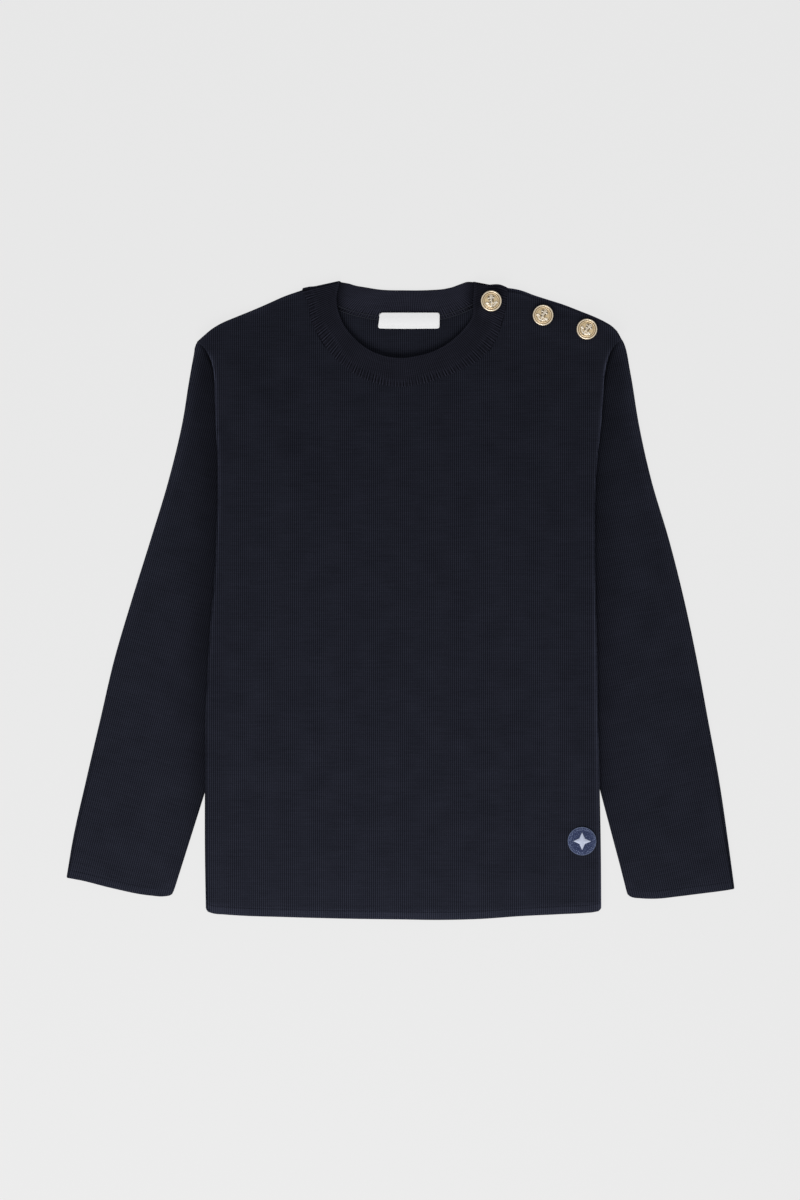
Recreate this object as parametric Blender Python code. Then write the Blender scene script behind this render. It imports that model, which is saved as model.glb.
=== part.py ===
"""A child's sailor sweater in fine ribbed knit, laid flat on its back with the neck towards +Y.

Left and right are the wearer's, so the buttoned left shoulder is at +X. The sleeves lie on the
surface, folded down the sides, and the body lies over their inner halves. A front and a back
panel lie on each other, a doubled neckband runs round the neck, and the back shoulder's button
stand lies under the front shoulder edge. The tables are in millimetres, measured from the
middle of the whole outline, and each piece is turned to metres when its mesh is made.
"""
import math
from typing import NamedTuple

import bmesh
import bpy
import numpy as np
from mathutils.bvhtree import BVHTree

for old_object in list(bpy.data.objects):
    bpy.data.objects.remove(old_object, do_unlink=True)

MM = 0.001

# Cloth
PANEL_WALL = 1.6
SLEEVE_WALL = 1.6
SLEEVE_AIR = 0.8
BAND_THICKNESS = 2.6
STAND_WALL = 1.4
LABEL_WALL = 1.0
BADGE_WALL = 1.2
SEAM_GAP = 0.3
SLEEVE_THICKNESS = 2 * SLEEVE_WALL + SLEEVE_AIR
EDGE_ROUNDING = 1.1

# Shoulder closure
STAND_WIDTH = 20.0
STAND_LIES_UNDER_BAND = 22.0
STAND_SHOWS_AT_NECK = 3.4
STAND_SHOWS_AT_TIP = 1.2
BUTTON_RADIUS = 8.5
BUTTON_LIFT = 0.5
SHANK_RADIUS = 1.4
BUTTONHOLE_LENGTH = 10.0
BUTTONHOLE_WIDTH = 4.0
BUTTONHOLE_TURN = math.radians(-20)

# How the band's inner edge stands off the back, and how the shoulder fold starts inside it
BAND_RISE = 2.0
BAND_TURN_INSET = 2.8
BAND_END_SHORT = 0.1

# How far to each side of a sleeve's edge the back needs to come down to the surface
DRAPE = 24.0

# Mesh density
NECK_STEPS = 18
BACK_NECK_STEPS = 12
SHOULDER_SHARES = np.array([0, 0.09, 0.22, 0.4, 0.6, 0.8, 1])


class Side(NamedTuple):
    """Where both side edges of the body lie, at one height up the sweater."""
    y: float
    right_x: float
    left_x: float


class Plan(NamedTuple):
    """One point of an outline."""
    x: float
    y: float


class Button(NamedTuple):
    name: str
    x: float
    y: float


BODY_SIDES = (
    Side(-244.0, -156.2, 160.8),
    Side(-199.6, -156.4, 159.6),
    Side(-146.0, -156.4, 158.4),
    Side(-95.0, -156.0, 158.0),
    Side(-21.0, -154.2, 156.8),
    Side(52.4, -149.5, 154.8),
    Side(118.0, -146.8, 156.4),
    Side(152.4, -146.4, 159.6),
    Side(172.4, -146.8, 161.2),
    Side(190.8, -148.4, 164.4),
    Side(202.0, -151.4, 168.8),
    Side(210.6, -155.4, 173.2),
)

HEM = (
    Plan(-156.2, -244.0), Plan(-151.5, -250.4), Plan(-128.4, -252.2), Plan(-64.4, -254.0),
    Plan(0.0, -255.0), Plan(32.0, -255.4), Plan(95.6, -252.8), Plan(147.6, -249.6),
    Plan(156.8, -248.2), Plan(160.8, -244.0),
)

RIGHT_SHOULDER = (
    Plan(-155.4, 210.6), Plan(-148.4, 217.6), Plan(-136.4, 225.6), Plan(-112.4, 236.4),
    Plan(-96.4, 242.4), Plan(-78.0, 248.2),
)

LEFT_SHOULDER = (
    Plan(84.8, 248.6), Plan(95.6, 246.8), Plan(103.6, 244.8), Plan(115.6, 240.8),
    Plan(127.6, 236.8), Plan(143.6, 230.4), Plan(159.6, 223.6), Plan(168.4, 218.0),
    Plan(173.2, 210.6),
)

FRONT_NECK = (
    Plan(-78.0, 248.2), Plan(-73.4, 239.6), Plan(-70.8, 225.2), Plan(-63.6, 210.8),
    Plan(-50.0, 193.2), Plan(-31.6, 179.6), Plan(-10.0, 172.8), Plan(2.8, 172.3),
    Plan(15.6, 174.0), Plan(31.6, 179.0), Plan(47.6, 185.4), Plan(61.6, 192.8),
    Plan(70.4, 201.2), Plan(77.2, 213.2), Plan(82.4, 230.0), Plan(84.4, 244.8),
)

BACK_NECK = (
    Plan(-78.0, 248.2), Plan(-66.0, 241.4), Plan(-54.0, 235.6), Plan(-40.4, 230.6),
    Plan(-20.4, 226.2), Plan(2.0, 224.4), Plan(25.2, 225.2), Plan(41.2, 228.6),
    Plan(55.6, 234.2), Plan(69.2, 241.2), Plan(84.8, 248.6),
)

FRONT_FOLD = (
    Plan(-51.8, 252.2), Plan(-51.4, 239.6), Plan(-50.0, 232.4), Plan(-45.2, 220.4),
    Plan(-38.0, 211.2), Plan(-28.6, 202.8), Plan(-10.0, 195.2), Plan(0.4, 194.2),
    Plan(18.8, 197.0), Plan(34.3, 203.4), Plan(44.4, 211.0), Plan(51.6, 218.4),
    Plan(57.2, 227.0), Plan(58.2, 240.0), Plan(59.0, 252.6),
)

BACK_FOLD = (
    Plan(-51.8, 252.2), Plan(-47.0, 253.4), Plan(-32.4, 250.4), Plan(-17.0, 248.8),
    Plan(3.0, 248.3), Plan(23.0, 248.6), Plan(36.0, 249.9), Plan(46.0, 252.4),
    Plan(58.4, 255.4),
)

# Where the band's front end is cut off, at its seam and at its folded edge
FRONT_BAND_END = (Plan(84.4, 248.0), Plan(59.2, 254.4))

RIGHT_SLEEVE_OUTER = (
    Plan(-267.6, -222.0), Plan(-262.0, -191.6), Plan(-251.6, -143.6), Plan(-240.4, -95.6),
    Plan(-229.2, -47.6), Plan(-214.8, 0.4), Plan(-199.6, 48.4), Plan(-185.2, 96.4),
    Plan(-174.0, 144.4), Plan(-169.0, 174.0), Plan(-165.6, 198.0), Plan(-160.6, 208.6),
)
RIGHT_SLEEVE_MOUTH = (
    Plan(-160.6, 208.6), Plan(-154.2, 209.2), Plan(-148.0, 202.0), Plan(-141.0, 186.0),
    Plan(-132.0, 162.0), Plan(-120.0, 132.0), Plan(-103.0, 101.0), Plan(-86.0, 76.0),
)
RIGHT_SLEEVE_INNER = (
    Plan(-181.0, -231.0), Plan(-158.0, -158.0), Plan(-121.0, -40.0), Plan(-86.0, 76.0),
)
RIGHT_CUFF = (
    Plan(-267.6, -222.0), Plan(-256.4, -224.0), Plan(-232.4, -230.0), Plan(-200.4, -236.2),
    Plan(-188.4, -236.8), Plan(-183.4, -235.6), Plan(-181.0, -231.0),
)

LEFT_SLEEVE_OUTER = (
    Plan(267.6, -230.0), Plan(262.0, -191.6), Plan(254.8, -143.6), Plan(246.0, -95.6),
    Plan(237.2, -47.6), Plan(226.8, 0.4), Plan(214.8, 48.4), Plan(200.4, 96.4),
    Plan(190.0, 144.4), Plan(184.6, 174.0), Plan(181.8, 196.0), Plan(177.6, 208.2),
)
LEFT_SLEEVE_MOUTH = (
    Plan(100.0, 76.0), Plan(116.0, 101.0), Plan(132.0, 132.0), Plan(145.0, 162.0),
    Plan(156.0, 186.0), Plan(164.5, 202.0), Plan(171.6, 209.2), Plan(177.6, 208.2),
)
LEFT_SLEEVE_INNER = (
    Plan(180.8, -231.0), Plan(161.4, -158.0), Plan(131.0, -40.0), Plan(100.0, 76.0),
)
LEFT_CUFF = (
    Plan(180.8, -231.0), Plan(182.6, -236.4), Plan(191.6, -238.6), Plan(203.6, -238.8),
    Plan(223.6, -236.8), Plan(239.6, -234.8), Plan(255.6, -232.2), Plan(267.6, -230.0),
)

# Label and badge
LABEL_SIZE = (49.5, 12.6)
LABEL_CENTRE = Plan(6.8, 223.3)
BADGE_RADIUS = 11.8
BADGE_CENTRE = Plan(145.2, -192.4)

BUTTONS = (
    Button("button_neck", 72.6, 239.5),
    Button("button_middle", 114.1, 228.2),
    Button("button_shoulder", 149.0, 217.0),
)


# Curves and patches

def through(points, steps=16):
    """A smooth curve through points: cubic spans whose end slopes average their neighbours'."""
    knots = np.array([tuple(point) for point in points], float)
    span = np.diff(knots, axis=0)
    chord = np.linalg.norm(span, axis=1)[:, None]
    slope = span / chord
    tangent = np.vstack([slope[:1], slope[1:], slope[-1:]])
    tangent[1:-1] = (slope[:-1] * chord[1:] + slope[1:] * chord[:-1]) / (chord[1:] + chord[:-1])
    t = (np.arange(steps) / steps)[None, :, None]
    first, last = knots[:-1, None], knots[1:, None]
    leave, arrive = (tangent[:-1] * chord)[:, None], (tangent[1:] * chord)[:, None]
    curve = ((2 * t**3 - 3 * t**2 + 1) * first + (t**3 - 2 * t**2 + t) * leave
             + (3 * t**2 - 2 * t**3) * last + (t**3 - t**2) * arrive)
    return np.vstack([curve.reshape(-1, 2), knots[-1]])


def at(curve, fractions):
    """The points of a curve at fractions of its length."""
    length = np.concatenate([[0], np.cumsum(np.linalg.norm(np.diff(curve, axis=0), axis=1))])
    places = np.asarray(fractions) * length[-1]
    return np.stack([np.interp(places, length, curve[:, axis]) for axis in (0, 1)], axis=-1)


def sideways(curve):
    """Unit directions to the left of a curve, at each of its points."""
    along = np.gradient(curve, axis=0)
    along /= np.linalg.norm(along, axis=1)[:, None]
    return np.stack([-along[:, 1], along[:, 0]], axis=-1)


# How quickly a patch forgets the bends of its side edges, as a power
SIDE_HOLD = 12


def patch(low, high, start, end, across, up):
    """A plan grid between four edges, given at fractions across and up.

    Straight lines join the low and high edges, and the side edges bend those close to them.
    """
    u = np.asarray(across)[:, None, None]
    v = np.asarray(up)[None, :, None]
    straight = (1 - v) * low[:, None] + v * high[:, None]
    return (straight + (1 - u)**SIDE_HOLD * (start[None] - straight[:1])
            + u**SIDE_HOLD * (end[None] - straight[-1:]))


# Heights over the plan, on a raster

RASTER_STEP = 2.0
EDGE_CARRY = 3.0
raster_x = np.arange(-280.0, 280.1, RASTER_STEP)
raster_y = np.arange(-268.0, 268.1, RASTER_STEP)
RASTER_X, RASTER_Y = np.meshgrid(raster_x, raster_y)


def inside(outline):
    """Which raster points lie inside a closed outline, by counting crossed edges."""
    crossed = np.zeros(RASTER_X.shape, bool)
    for first, last in zip(outline, np.roll(outline, -1, axis=0)):
        if first[1] == last[1]:
            continue
        between = (first[1] > RASTER_Y) != (last[1] > RASTER_Y)
        edge_x = first[0] + (RASTER_Y - first[1]) / (last[1] - first[1]) * (last[0] - first[0])
        crossed ^= between & (RASTER_X < edge_x)
    return crossed


def grow(field, reach):
    """A field with each point raised to the highest within reach of it."""
    cells = int(round(reach / RASTER_STEP))
    grown = field.copy()
    for step_x in range(-cells, cells + 1):
        for step_y in range(-cells, cells + 1):
            if step_x**2 + step_y**2 <= cells**2:
                grown = np.maximum(grown, np.roll(field, (step_y, step_x), (0, 1)))
    return grown


def soften(field, reach):
    """A field averaged twice over squares that reach so far to each side."""
    cells = int(round(reach / RASTER_STEP))
    for axis in (0, 1, 0, 1):
        field = sum(np.roll(field, step, axis) for step in range(-cells, cells + 1)) / (2 * cells + 1)
    return field


def height_at(field, plan):
    """A field's height at plan points, between the raster's points."""
    column = (plan[..., 0] - raster_x[0]) / RASTER_STEP
    row = (plan[..., 1] - raster_y[0]) / RASTER_STEP
    i, j = np.floor(row).astype(int), np.floor(column).astype(int)
    up, over = row - i, column - j
    return ((1 - up) * ((1 - over) * field[i, j] + over * field[i, j + 1])
            + up * ((1 - over) * field[i + 1, j] + over * field[i + 1, j + 1]))


def resting(field, plan):
    """Heights of a plan grid laid on a field: corners rise until their cells' middles clear it."""
    height = height_at(field, plan)
    corners = ((slice(None, -1), slice(None, -1)), (slice(1, None), slice(None, -1)),
               (slice(None, -1), slice(1, None)), (slice(1, None), slice(1, None)))
    lack = np.zeros((plan.shape[0] - 1, plan.shape[1] - 1))
    shares = np.linspace(0, 1, 7)
    for u in shares:
        for v in shares:
            weights = ((1 - u) * (1 - v), u * (1 - v), (1 - u) * v, u * v)
            place = sum(weight * plan[corner] for weight, corner in zip(weights, corners))
            laid = sum(weight * height[corner] for weight, corner in zip(weights, corners))
            lack = np.maximum(lack, height_at(field, place) - laid)
    low, right, left, high = (height[corner] for corner in corners)
    lack += abs(low + high - right - left) / 4
    rise = np.zeros(plan.shape[:2])
    for corner in corners:
        rise[corner] = np.maximum(rise[corner], lack)
    return height + rise


def top_of(made):
    """The upper surface of a solid on the raster, carried a little way past its edges."""
    mesh = made.data
    tree = BVHTree.FromPolygons([tuple(vertex.co) for vertex in mesh.vertices],
                                [tuple(face.vertices) for face in mesh.polygons])
    corners = np.array([tuple(vertex.co) for vertex in mesh.vertices]) / MM
    low, high = corners.min(axis=0), corners.max(axis=0)
    field = np.zeros(RASTER_X.shape)
    for i in np.flatnonzero((raster_y >= low[1]) & (raster_y <= high[1])):
        for j in np.flatnonzero((raster_x >= low[0]) & (raster_x <= high[0])):
            hit = tree.ray_cast((raster_x[j] * MM, raster_y[i] * MM, 1.0), (0.0, 0.0, -1.0))[0]
            if hit:
                field[i, j] = hit[2] / MM
    return np.where(field > 0, field, grow(field, EDGE_CARRY))


def highest(field, place, radius):
    """The greatest height of a field within a radius of a place."""
    near = np.hypot(RASTER_X - place.x, RASTER_Y - place.y) <= radius + RASTER_STEP
    return field[near].max()


# Materials and meshes

def material(name, colour, roughness, metallic=0.0):
    made = bpy.data.materials.new(name)
    made.use_nodes = True
    shader = made.node_tree.nodes["Principled BSDF"]
    shader.inputs["Base Color"].default_value = (*colour, 1.0)
    shader.inputs["Roughness"].default_value = roughness
    shader.inputs["Metallic"].default_value = metallic
    return made


def solid(name, points, faces, finish, smooth=False):
    """An object from points in millimetres and faces, with its normals turned outwards."""
    mesh = bpy.data.meshes.new(name)
    mesh.from_pydata((np.asarray(points) * MM).tolist(), [], faces)
    shape = bmesh.new()
    shape.from_mesh(mesh)
    bmesh.ops.triangulate(shape, faces=shape.faces[:])
    bmesh.ops.recalc_face_normals(shape, faces=shape.faces[:])
    shape.to_mesh(mesh)
    shape.free()
    mesh.materials.append(finish)
    if smooth:
        mesh.shade_smooth()
        mesh.set_sharp_from_angle(angle=math.radians(35))
    made = bpy.data.objects.new(name, mesh)
    bpy.context.scene.collection.objects.link(made)
    return made


def grid_faces(columns, rows, first=0):
    """Quads of a grid whose points run row by row within each column."""
    return [(first + c * rows + r, first + (c + 1) * rows + r,
             first + (c + 1) * rows + r + 1, first + c * rows + r + 1)
            for c in range(columns - 1) for r in range(rows - 1)]


def ring_faces(first, second):
    """Quads between two closed rings of point numbers."""
    return [(first[k - 1], first[k], second[k], second[k - 1]) for k in range(len(first))]


# How far out, and how high between the faces, the rings round a rim lie: the pair of panels
# together make one round edge
ROUND_ABOVE = ((0.0, 1.0), (EDGE_ROUNDING * 0.7, 0.86), (EDGE_ROUNDING, 0.45), (EDGE_ROUNDING, 0.0))
ROUND_BELOW = ((EDGE_ROUNDING, 1.0), (EDGE_ROUNDING, 0.55), (EDGE_ROUNDING * 0.7, 0.14), (0.0, 0.0))


def cloth(name, plan, bottom, top, rim, finish):
    """A closed wall between two heights over a plan grid, with a rounded rim.

    rim lists rings round the edge, from the upper face to the lower: how far out each lies,
    and how high between the two faces.
    """
    columns, rows = plan.shape[:2]
    edge = ([(c, 0) for c in range(columns)] + [(columns - 1, r) for r in range(1, rows)]
            + [(c, rows - 1) for c in range(columns - 2, -1, -1)]
            + [(0, r) for r in range(rows - 2, 0, -1)])
    edge_c, edge_r = np.array(edge).T
    loop = plan[edge_c, edge_r]
    along = np.roll(loop, -1, axis=0) - np.roll(loop, 1, axis=0)
    outward = np.stack([along[:, 1], -along[:, 0]], axis=-1)
    outward /= np.linalg.norm(outward, axis=1)[:, None]
    reach = max(out for out, _ in rim)
    low, high = bottom[edge_c, edge_r], top[edge_c, edge_r]
    rings = [np.column_stack([loop - outward * (reach - out), low + (high - low) * rise])
             for out, rise in rim]
    upper = np.dstack([plan, top])
    lower = np.dstack([plan, bottom])
    upper[edge_c, edge_r] = rings[0]
    lower[edge_c, edge_r] = rings[-1]
    size = columns * rows
    points = np.vstack([upper.reshape(-1, 3), lower.reshape(-1, 3), *rings[1:-1]])
    on_edge = edge_c * rows + edge_r
    numbers = [on_edge.tolist()]
    for k in range(len(rim) - 2):
        numbers.append((2 * size + k * len(edge) + np.arange(len(edge))).tolist())
    numbers.append((size + on_edge).tolist())
    faces = grid_faces(columns, rows) + [face[::-1] for face in grid_faces(columns, rows, size)]
    for above, below in zip(numbers[:-1], numbers[1:]):
        faces += ring_faces(below, above)
    return solid(name, points, faces, finish)


KNIT = material("navy knit", (0.010, 0.014, 0.026), 0.9)
RIB = material("navy rib", (0.012, 0.016, 0.030), 0.9)
GILT = material("gilt brass", (0.80, 0.62, 0.34), 0.3, 1.0)
LABEL = material("white satin", (0.85, 0.85, 0.85), 0.5)
BADGE = material("blue woven badge", (0.03, 0.05, 0.12), 0.8)


# Sleeves: flattened tubes, open at the cuff and at the armhole

SLEEVE_ACROSS = np.array([0, 0.05, 0.14, 0.36, 0.64, 0.86, 0.95, 1])
SLEEVE_UP = np.array([0, 0.02, 0.11, 0.22, 0.34, 0.46, 0.58, 0.69, 0.79, 0.87, 0.94, 1])
FOLD_ANGLES = np.radians([60, 30, 0, -30, -60])


def sleeve(name, cuff, mouth, start, end):
    """A flattened tube: its outer and inner walls are rings round a plan grid, joined at the ends."""
    start_edge, end_edge = at(through(start), SLEEVE_UP), at(through(end), SLEEVE_UP)
    start_out, end_out = sideways(start_edge), -sideways(end_edge)
    radius = SLEEVE_THICKNESS / 2
    start_line, end_line = start_edge - start_out * radius, end_edge - end_out * radius
    low, high = at(through(cuff), SLEEVE_ACROSS), at(through(mouth), SLEEVE_ACROSS)
    low[0], low[-1] = start_line[0], end_line[0]
    high[0], high[-1] = start_line[-1], end_line[-1]
    plan = patch(low, high, start_line, end_line, SLEEVE_ACROSS, SLEEVE_UP)
    points, walls = [], []
    for half_height in (radius, SLEEVE_AIR / 2):
        rings = []
        for r in range(len(SLEEVE_UP)):
            ring = [(*point, radius + half_height) for point in plan[:, r]]
            ring += [(*(end_line[r] + end_out[r] * half_height * math.cos(angle)),
                      radius + half_height * math.sin(angle)) for angle in FOLD_ANGLES]
            ring += [(*point, radius - half_height) for point in plan[::-1, r]]
            ring += [(*(start_line[r] + start_out[r] * half_height * math.cos(angle)),
                      radius + half_height * math.sin(angle)) for angle in FOLD_ANGLES[::-1]]
            rings.append([len(points) + k for k in range(len(ring))])
            points += ring
        walls.append(rings)
    outer, inner = walls
    faces = []
    for first, last in zip(outer[:-1], outer[1:]):
        faces += ring_faces(first, last)
    for first, last in zip(inner[:-1], inner[1:]):
        faces += ring_faces(last, first)
    faces += ring_faces(inner[0], outer[0]) + ring_faces(outer[-1], inner[-1])
    outline = np.vstack([through(start), through(mouth), through(end)[::-1], through(cuff)[::-1]])
    return solid(name, points, faces, KNIT), outline


_, right_outline = sleeve("sleeve_right", RIGHT_CUFF, RIGHT_SLEEVE_MOUTH,
                          RIGHT_SLEEVE_OUTER, RIGHT_SLEEVE_INNER)
_, left_outline = sleeve("sleeve_left", LEFT_CUFF, LEFT_SLEEVE_MOUTH,
                         LEFT_SLEEVE_INNER, LEFT_SLEEVE_OUTER)


# Body panels: the back lies over the sleeves and the surface, the front lies on the back

BODY_UP = np.array([0, 0.012, 0.09, 0.18, 0.28, 0.38, 0.47, 0.55, 0.63, 0.71, 0.78, 0.84, 0.895,
                    0.94, 0.972, 1])
# The share of the hem that lies under each shoulder
SHOULDER_WIDTH = 0.22

right_side = through([Plan(row.right_x, row.y) for row in BODY_SIDES])
left_side = through([Plan(row.left_x, row.y) for row in BODY_SIDES])


def body_plan(neck, left_shoulder, neck_steps):
    """A panel's plan grid: its top edge runs along the right shoulder, neck and left shoulder."""
    from_tip, to_tip = SHOULDER_SHARES, 1 - SHOULDER_SHARES[::-1]
    along_neck = np.linspace(0, 1, neck_steps + 1)
    across = np.concatenate([from_tip * SHOULDER_WIDTH,
                             SHOULDER_WIDTH + along_neck[1:] * (1 - 2 * SHOULDER_WIDTH),
                             1 - (1 - to_tip[1:]) * SHOULDER_WIDTH])
    top = np.vstack([at(through(RIGHT_SHOULDER), from_tip), at(neck, along_neck)[1:],
                     at(left_shoulder, to_tip)[1:]])
    hem = at(through(HEM), across)
    return patch(hem, top, at(right_side, BODY_UP), at(left_side, BODY_UP), across, BODY_UP)


back_neck = through(BACK_NECK)
back_plan = body_plan(back_neck, through(LEFT_SHOULDER), BACK_NECK_STEPS)
sleeves_below = np.where(inside(right_outline) | inside(left_outline), SLEEVE_THICKNESS + SEAM_GAP, 0.0)
back_bottom = resting(soften(grow(sleeves_below, DRAPE), DRAPE / 2), back_plan)
back = cloth("back_panel", back_plan, back_bottom, back_bottom + PANEL_WALL, ROUND_BELOW, KNIT)
back_top = top_of(back)


# Button stand: a strip under the left shoulder, from the neckband's end to the armhole

STAND_ACROSS = 15
STAND_UP = np.array([0, 0.3, 0.65, 1])

neck_corner = LEFT_SHOULDER[0]
stand_edge = through([Plan(neck_corner.x - STAND_LIES_UNDER_BAND, neck_corner.y + 2.4),
                      Plan(neck_corner.x - STAND_LIES_UNDER_BAND / 2, neck_corner.y + 1.4),
                      *LEFT_SHOULDER[:-1]])
stand_across = np.linspace(0, 1, STAND_ACROSS)
stand_top_edge = at(stand_edge, stand_across)
stand_low_edge = stand_top_edge - sideways(stand_top_edge) * STAND_WIDTH
stand_plan = patch(stand_low_edge, stand_top_edge,
                   at(np.array([stand_low_edge[0], stand_top_edge[0]]), STAND_UP),
                   at(np.array([stand_low_edge[-1], stand_top_edge[-1]]), STAND_UP),
                   stand_across, STAND_UP)

back_fold = through(BACK_FOLD)
band_back_outline = np.vstack([back_neck, back_fold[::-1]])
band_below = grow(np.where(inside(band_back_outline), BAND_THICKNESS, 0.0), EDGE_CARRY)
stand_bottom = resting(np.maximum(back_top, band_below) + SEAM_GAP, stand_plan)
stand = cloth("shoulder_stand", stand_plan, stand_bottom, stand_bottom + STAND_WALL,
              ROUND_ABOVE, KNIT)
stand_top = top_of(stand)


# Front panel: its left shoulder edge stops short of the stand's, so the stand's edge shows

def front_button_edge():
    """The front's left shoulder edge: the shoulder line moved in by what shows of the stand."""
    line = at(through(LEFT_SHOULDER), np.linspace(0, 1, 24))
    shows = np.linspace(STAND_SHOWS_AT_NECK, STAND_SHOWS_AT_TIP, len(line))
    edge = line - sideways(line) * shows[:, None]
    edge[0], edge[-1] = FRONT_NECK[-1], LEFT_SHOULDER[-1]
    return edge


front_neck = through(FRONT_NECK)
front_plan = body_plan(front_neck, front_button_edge(), NECK_STEPS)
front_bottom = resting(np.maximum(back_top, stand_top) + SEAM_GAP, front_plan)
front = cloth("front_panel", front_plan, front_bottom, front_bottom + PANEL_WALL, ROUND_ABOVE, KNIT)
front_top = top_of(front)


# Neckband: a doubled strip, looped from its front end over the right shoulder to its back end

def band_lines(neck, fold, steps):
    """The seam edge beside a panel's neck edge, and the folded edge, at the same fractions.

    Both start a little inside the right shoulder, which leaves room for the turn round it.
    """
    fractions = np.linspace(0, 1, steps + 1)
    seam, folded = at(neck, fractions), at(through(fold), fractions)
    seam += sideways(seam) * SEAM_GAP
    for line in (seam, folded):
        step = line[1] - line[0]
        line[0] += step * BAND_TURN_INSET / np.linalg.norm(step)
    return seam, folded


front_seam, front_folded = band_lines(front_neck, FRONT_FOLD, NECK_STEPS)
back_seam, back_folded = band_lines(back_neck, BACK_FOLD, BACK_NECK_STEPS)
back_seam[-1] -= (back_seam[-1] - back_seam[-2]) * BAND_END_SHORT
front_seam = np.vstack([front_seam, FRONT_BAND_END[0]])
front_folded = np.vstack([front_folded, FRONT_BAND_END[1]])

HALF_BAND = BAND_THICKNESS / 2
# The strip's section: how far it lies from the seam edge, as a share and a length, and its height
BAND_SECTION = ((0.0, 0.0, 0.6), (0.0, 0.6, 1.0), (0.33, 0.0, 1.0), (0.66, 0.0, 1.0), (1.0, -1.3, 1.0),
                (1.0, -0.4, 0.72), (1.0, 0.0, 0.0), (1.0, -0.4, -0.72), (1.0, -1.3, -1.0),
                (0.66, 0.0, -1.0), (0.33, 0.0, -1.0), (0.0, 0.6, -1.0), (0.0, 0.0, -0.6))
BAND_SHARES = np.array([0, 1 / 3, 2 / 3, 1])


def band_ring(seam, folded, heights, lean):
    """One section of the strip: heights are its middle's, from seam to fold.

    lean turns its thickness from up, at 0, through outward to down, at 180 degrees.
    """
    width = np.linalg.norm(folded - seam)
    across = (folded - seam) / width
    outward = np.array([-across[1], across[0]])
    ring = []
    for share, length, height in BAND_SECTION:
        reach = share * width + length
        tilt = HALF_BAND * height
        place = seam + across * reach + outward * tilt * math.sin(lean)
        ring.append((*place, np.interp(reach / width, BAND_SHARES, heights) + tilt * math.cos(lean)))
    return ring


band_under = np.maximum(np.maximum(back_top, stand_top), band_below) + SEAM_GAP
shares = BAND_SHARES[:, None]
front_grid = front_seam[:, None] * (1 - shares) + front_folded[:, None] * shares
along_front = np.linspace(0, 1, len(front_seam))
stands_off = BAND_RISE * np.sin(math.pi * along_front)**0.7
front_heights = (resting(band_under, front_grid) + HALF_BAND
                 + stands_off[:, None] * BAND_SHARES[None]**1.5)
rings = [band_ring(seam, folded, heights, 0.0)
         for seam, folded, heights in zip(front_seam[::-1], front_folded[::-1], front_heights[::-1])]
turn_from = front_heights[0]
for lean in np.radians([45, 90, 135]):
    share = lean / math.pi
    seam = front_seam[0] * (1 - share) + back_seam[0] * share
    folded = front_folded[0] * (1 - share) + back_folded[0] * share
    across = (folded - seam) / np.linalg.norm(folded - seam)
    radius = (turn_from.mean() - HALF_BAND) / 2
    bulge = np.array([-across[1], across[0]]) * radius * math.sin(lean)
    heights = HALF_BAND + (turn_from - HALF_BAND) * (1 + math.cos(lean)) / 2
    rings.append(band_ring(seam + bulge, folded + bulge, heights, lean))
for seam, folded in zip(back_seam, back_folded):
    rings.append(band_ring(seam, folded, np.full(4, HALF_BAND), math.pi))

count = len(BAND_SECTION)
band_points = [point for ring in rings for point in ring]
numbers = [[r * count + k for k in range(count)] for r in range(len(rings))]
band_shape = [numbers[0][::-1], numbers[-1]]
for first, last in zip(numbers[:-1], numbers[1:]):
    band_shape += ring_faces(first, last)
band = solid("neckband", band_points, band_shape, RIB)
band_top = top_of(band)


# Buttonholes: slots through the front panel and the band's front end, under the buttons

CUTTER_HEIGHTS = (-5.0, 30.0)


def buttonhole(holder, button):
    """A round-ended slot cut through its holder, square to the shoulder line."""
    outline = []
    straight = BUTTONHOLE_LENGTH - BUTTONHOLE_WIDTH
    for end, start_angle in ((0.5, 0.0), (-0.5, math.pi)):
        for angle in start_angle + np.linspace(0, math.pi, 5):
            x = BUTTONHOLE_WIDTH / 2 * math.cos(angle)
            y = BUTTONHOLE_WIDTH / 2 * math.sin(angle) + end * straight
            outline.append((button.x + x * math.cos(BUTTONHOLE_TURN) - y * math.sin(BUTTONHOLE_TURN),
                            button.y + x * math.sin(BUTTONHOLE_TURN) + y * math.cos(BUTTONHOLE_TURN)))
    count = len(outline)
    points = [(*place, height) for height in CUTTER_HEIGHTS for place in outline]
    low, high = list(range(count)), list(range(count, 2 * count))
    cutter = solid("buttonhole_" + button.name, points, [low[::-1], high, *ring_faces(low, high)],
                   holder.data.materials[0])
    cutter.hide_render = True
    cutter.display_type = "WIRE"
    cut = holder.modifiers.new("buttonhole", "BOOLEAN")
    cut.operation = "DIFFERENCE"
    cut.object = cutter


# Buttons: a stamped dome with a rolled rim, on a shank that goes through its buttonhole

# Radius, and height above the button's underside
BUTTON_PROFILE = ((7.4, 0.0), (8.3, 0.5), (BUTTON_RADIUS, 1.2), (8.2, 1.9), (7.6, 2.1), (6.9, 1.8),
                  (5.2, 2.6), (2.8, 3.2))
BUTTON_TOP = 3.4
BUTTON_SIDES = 24


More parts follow.
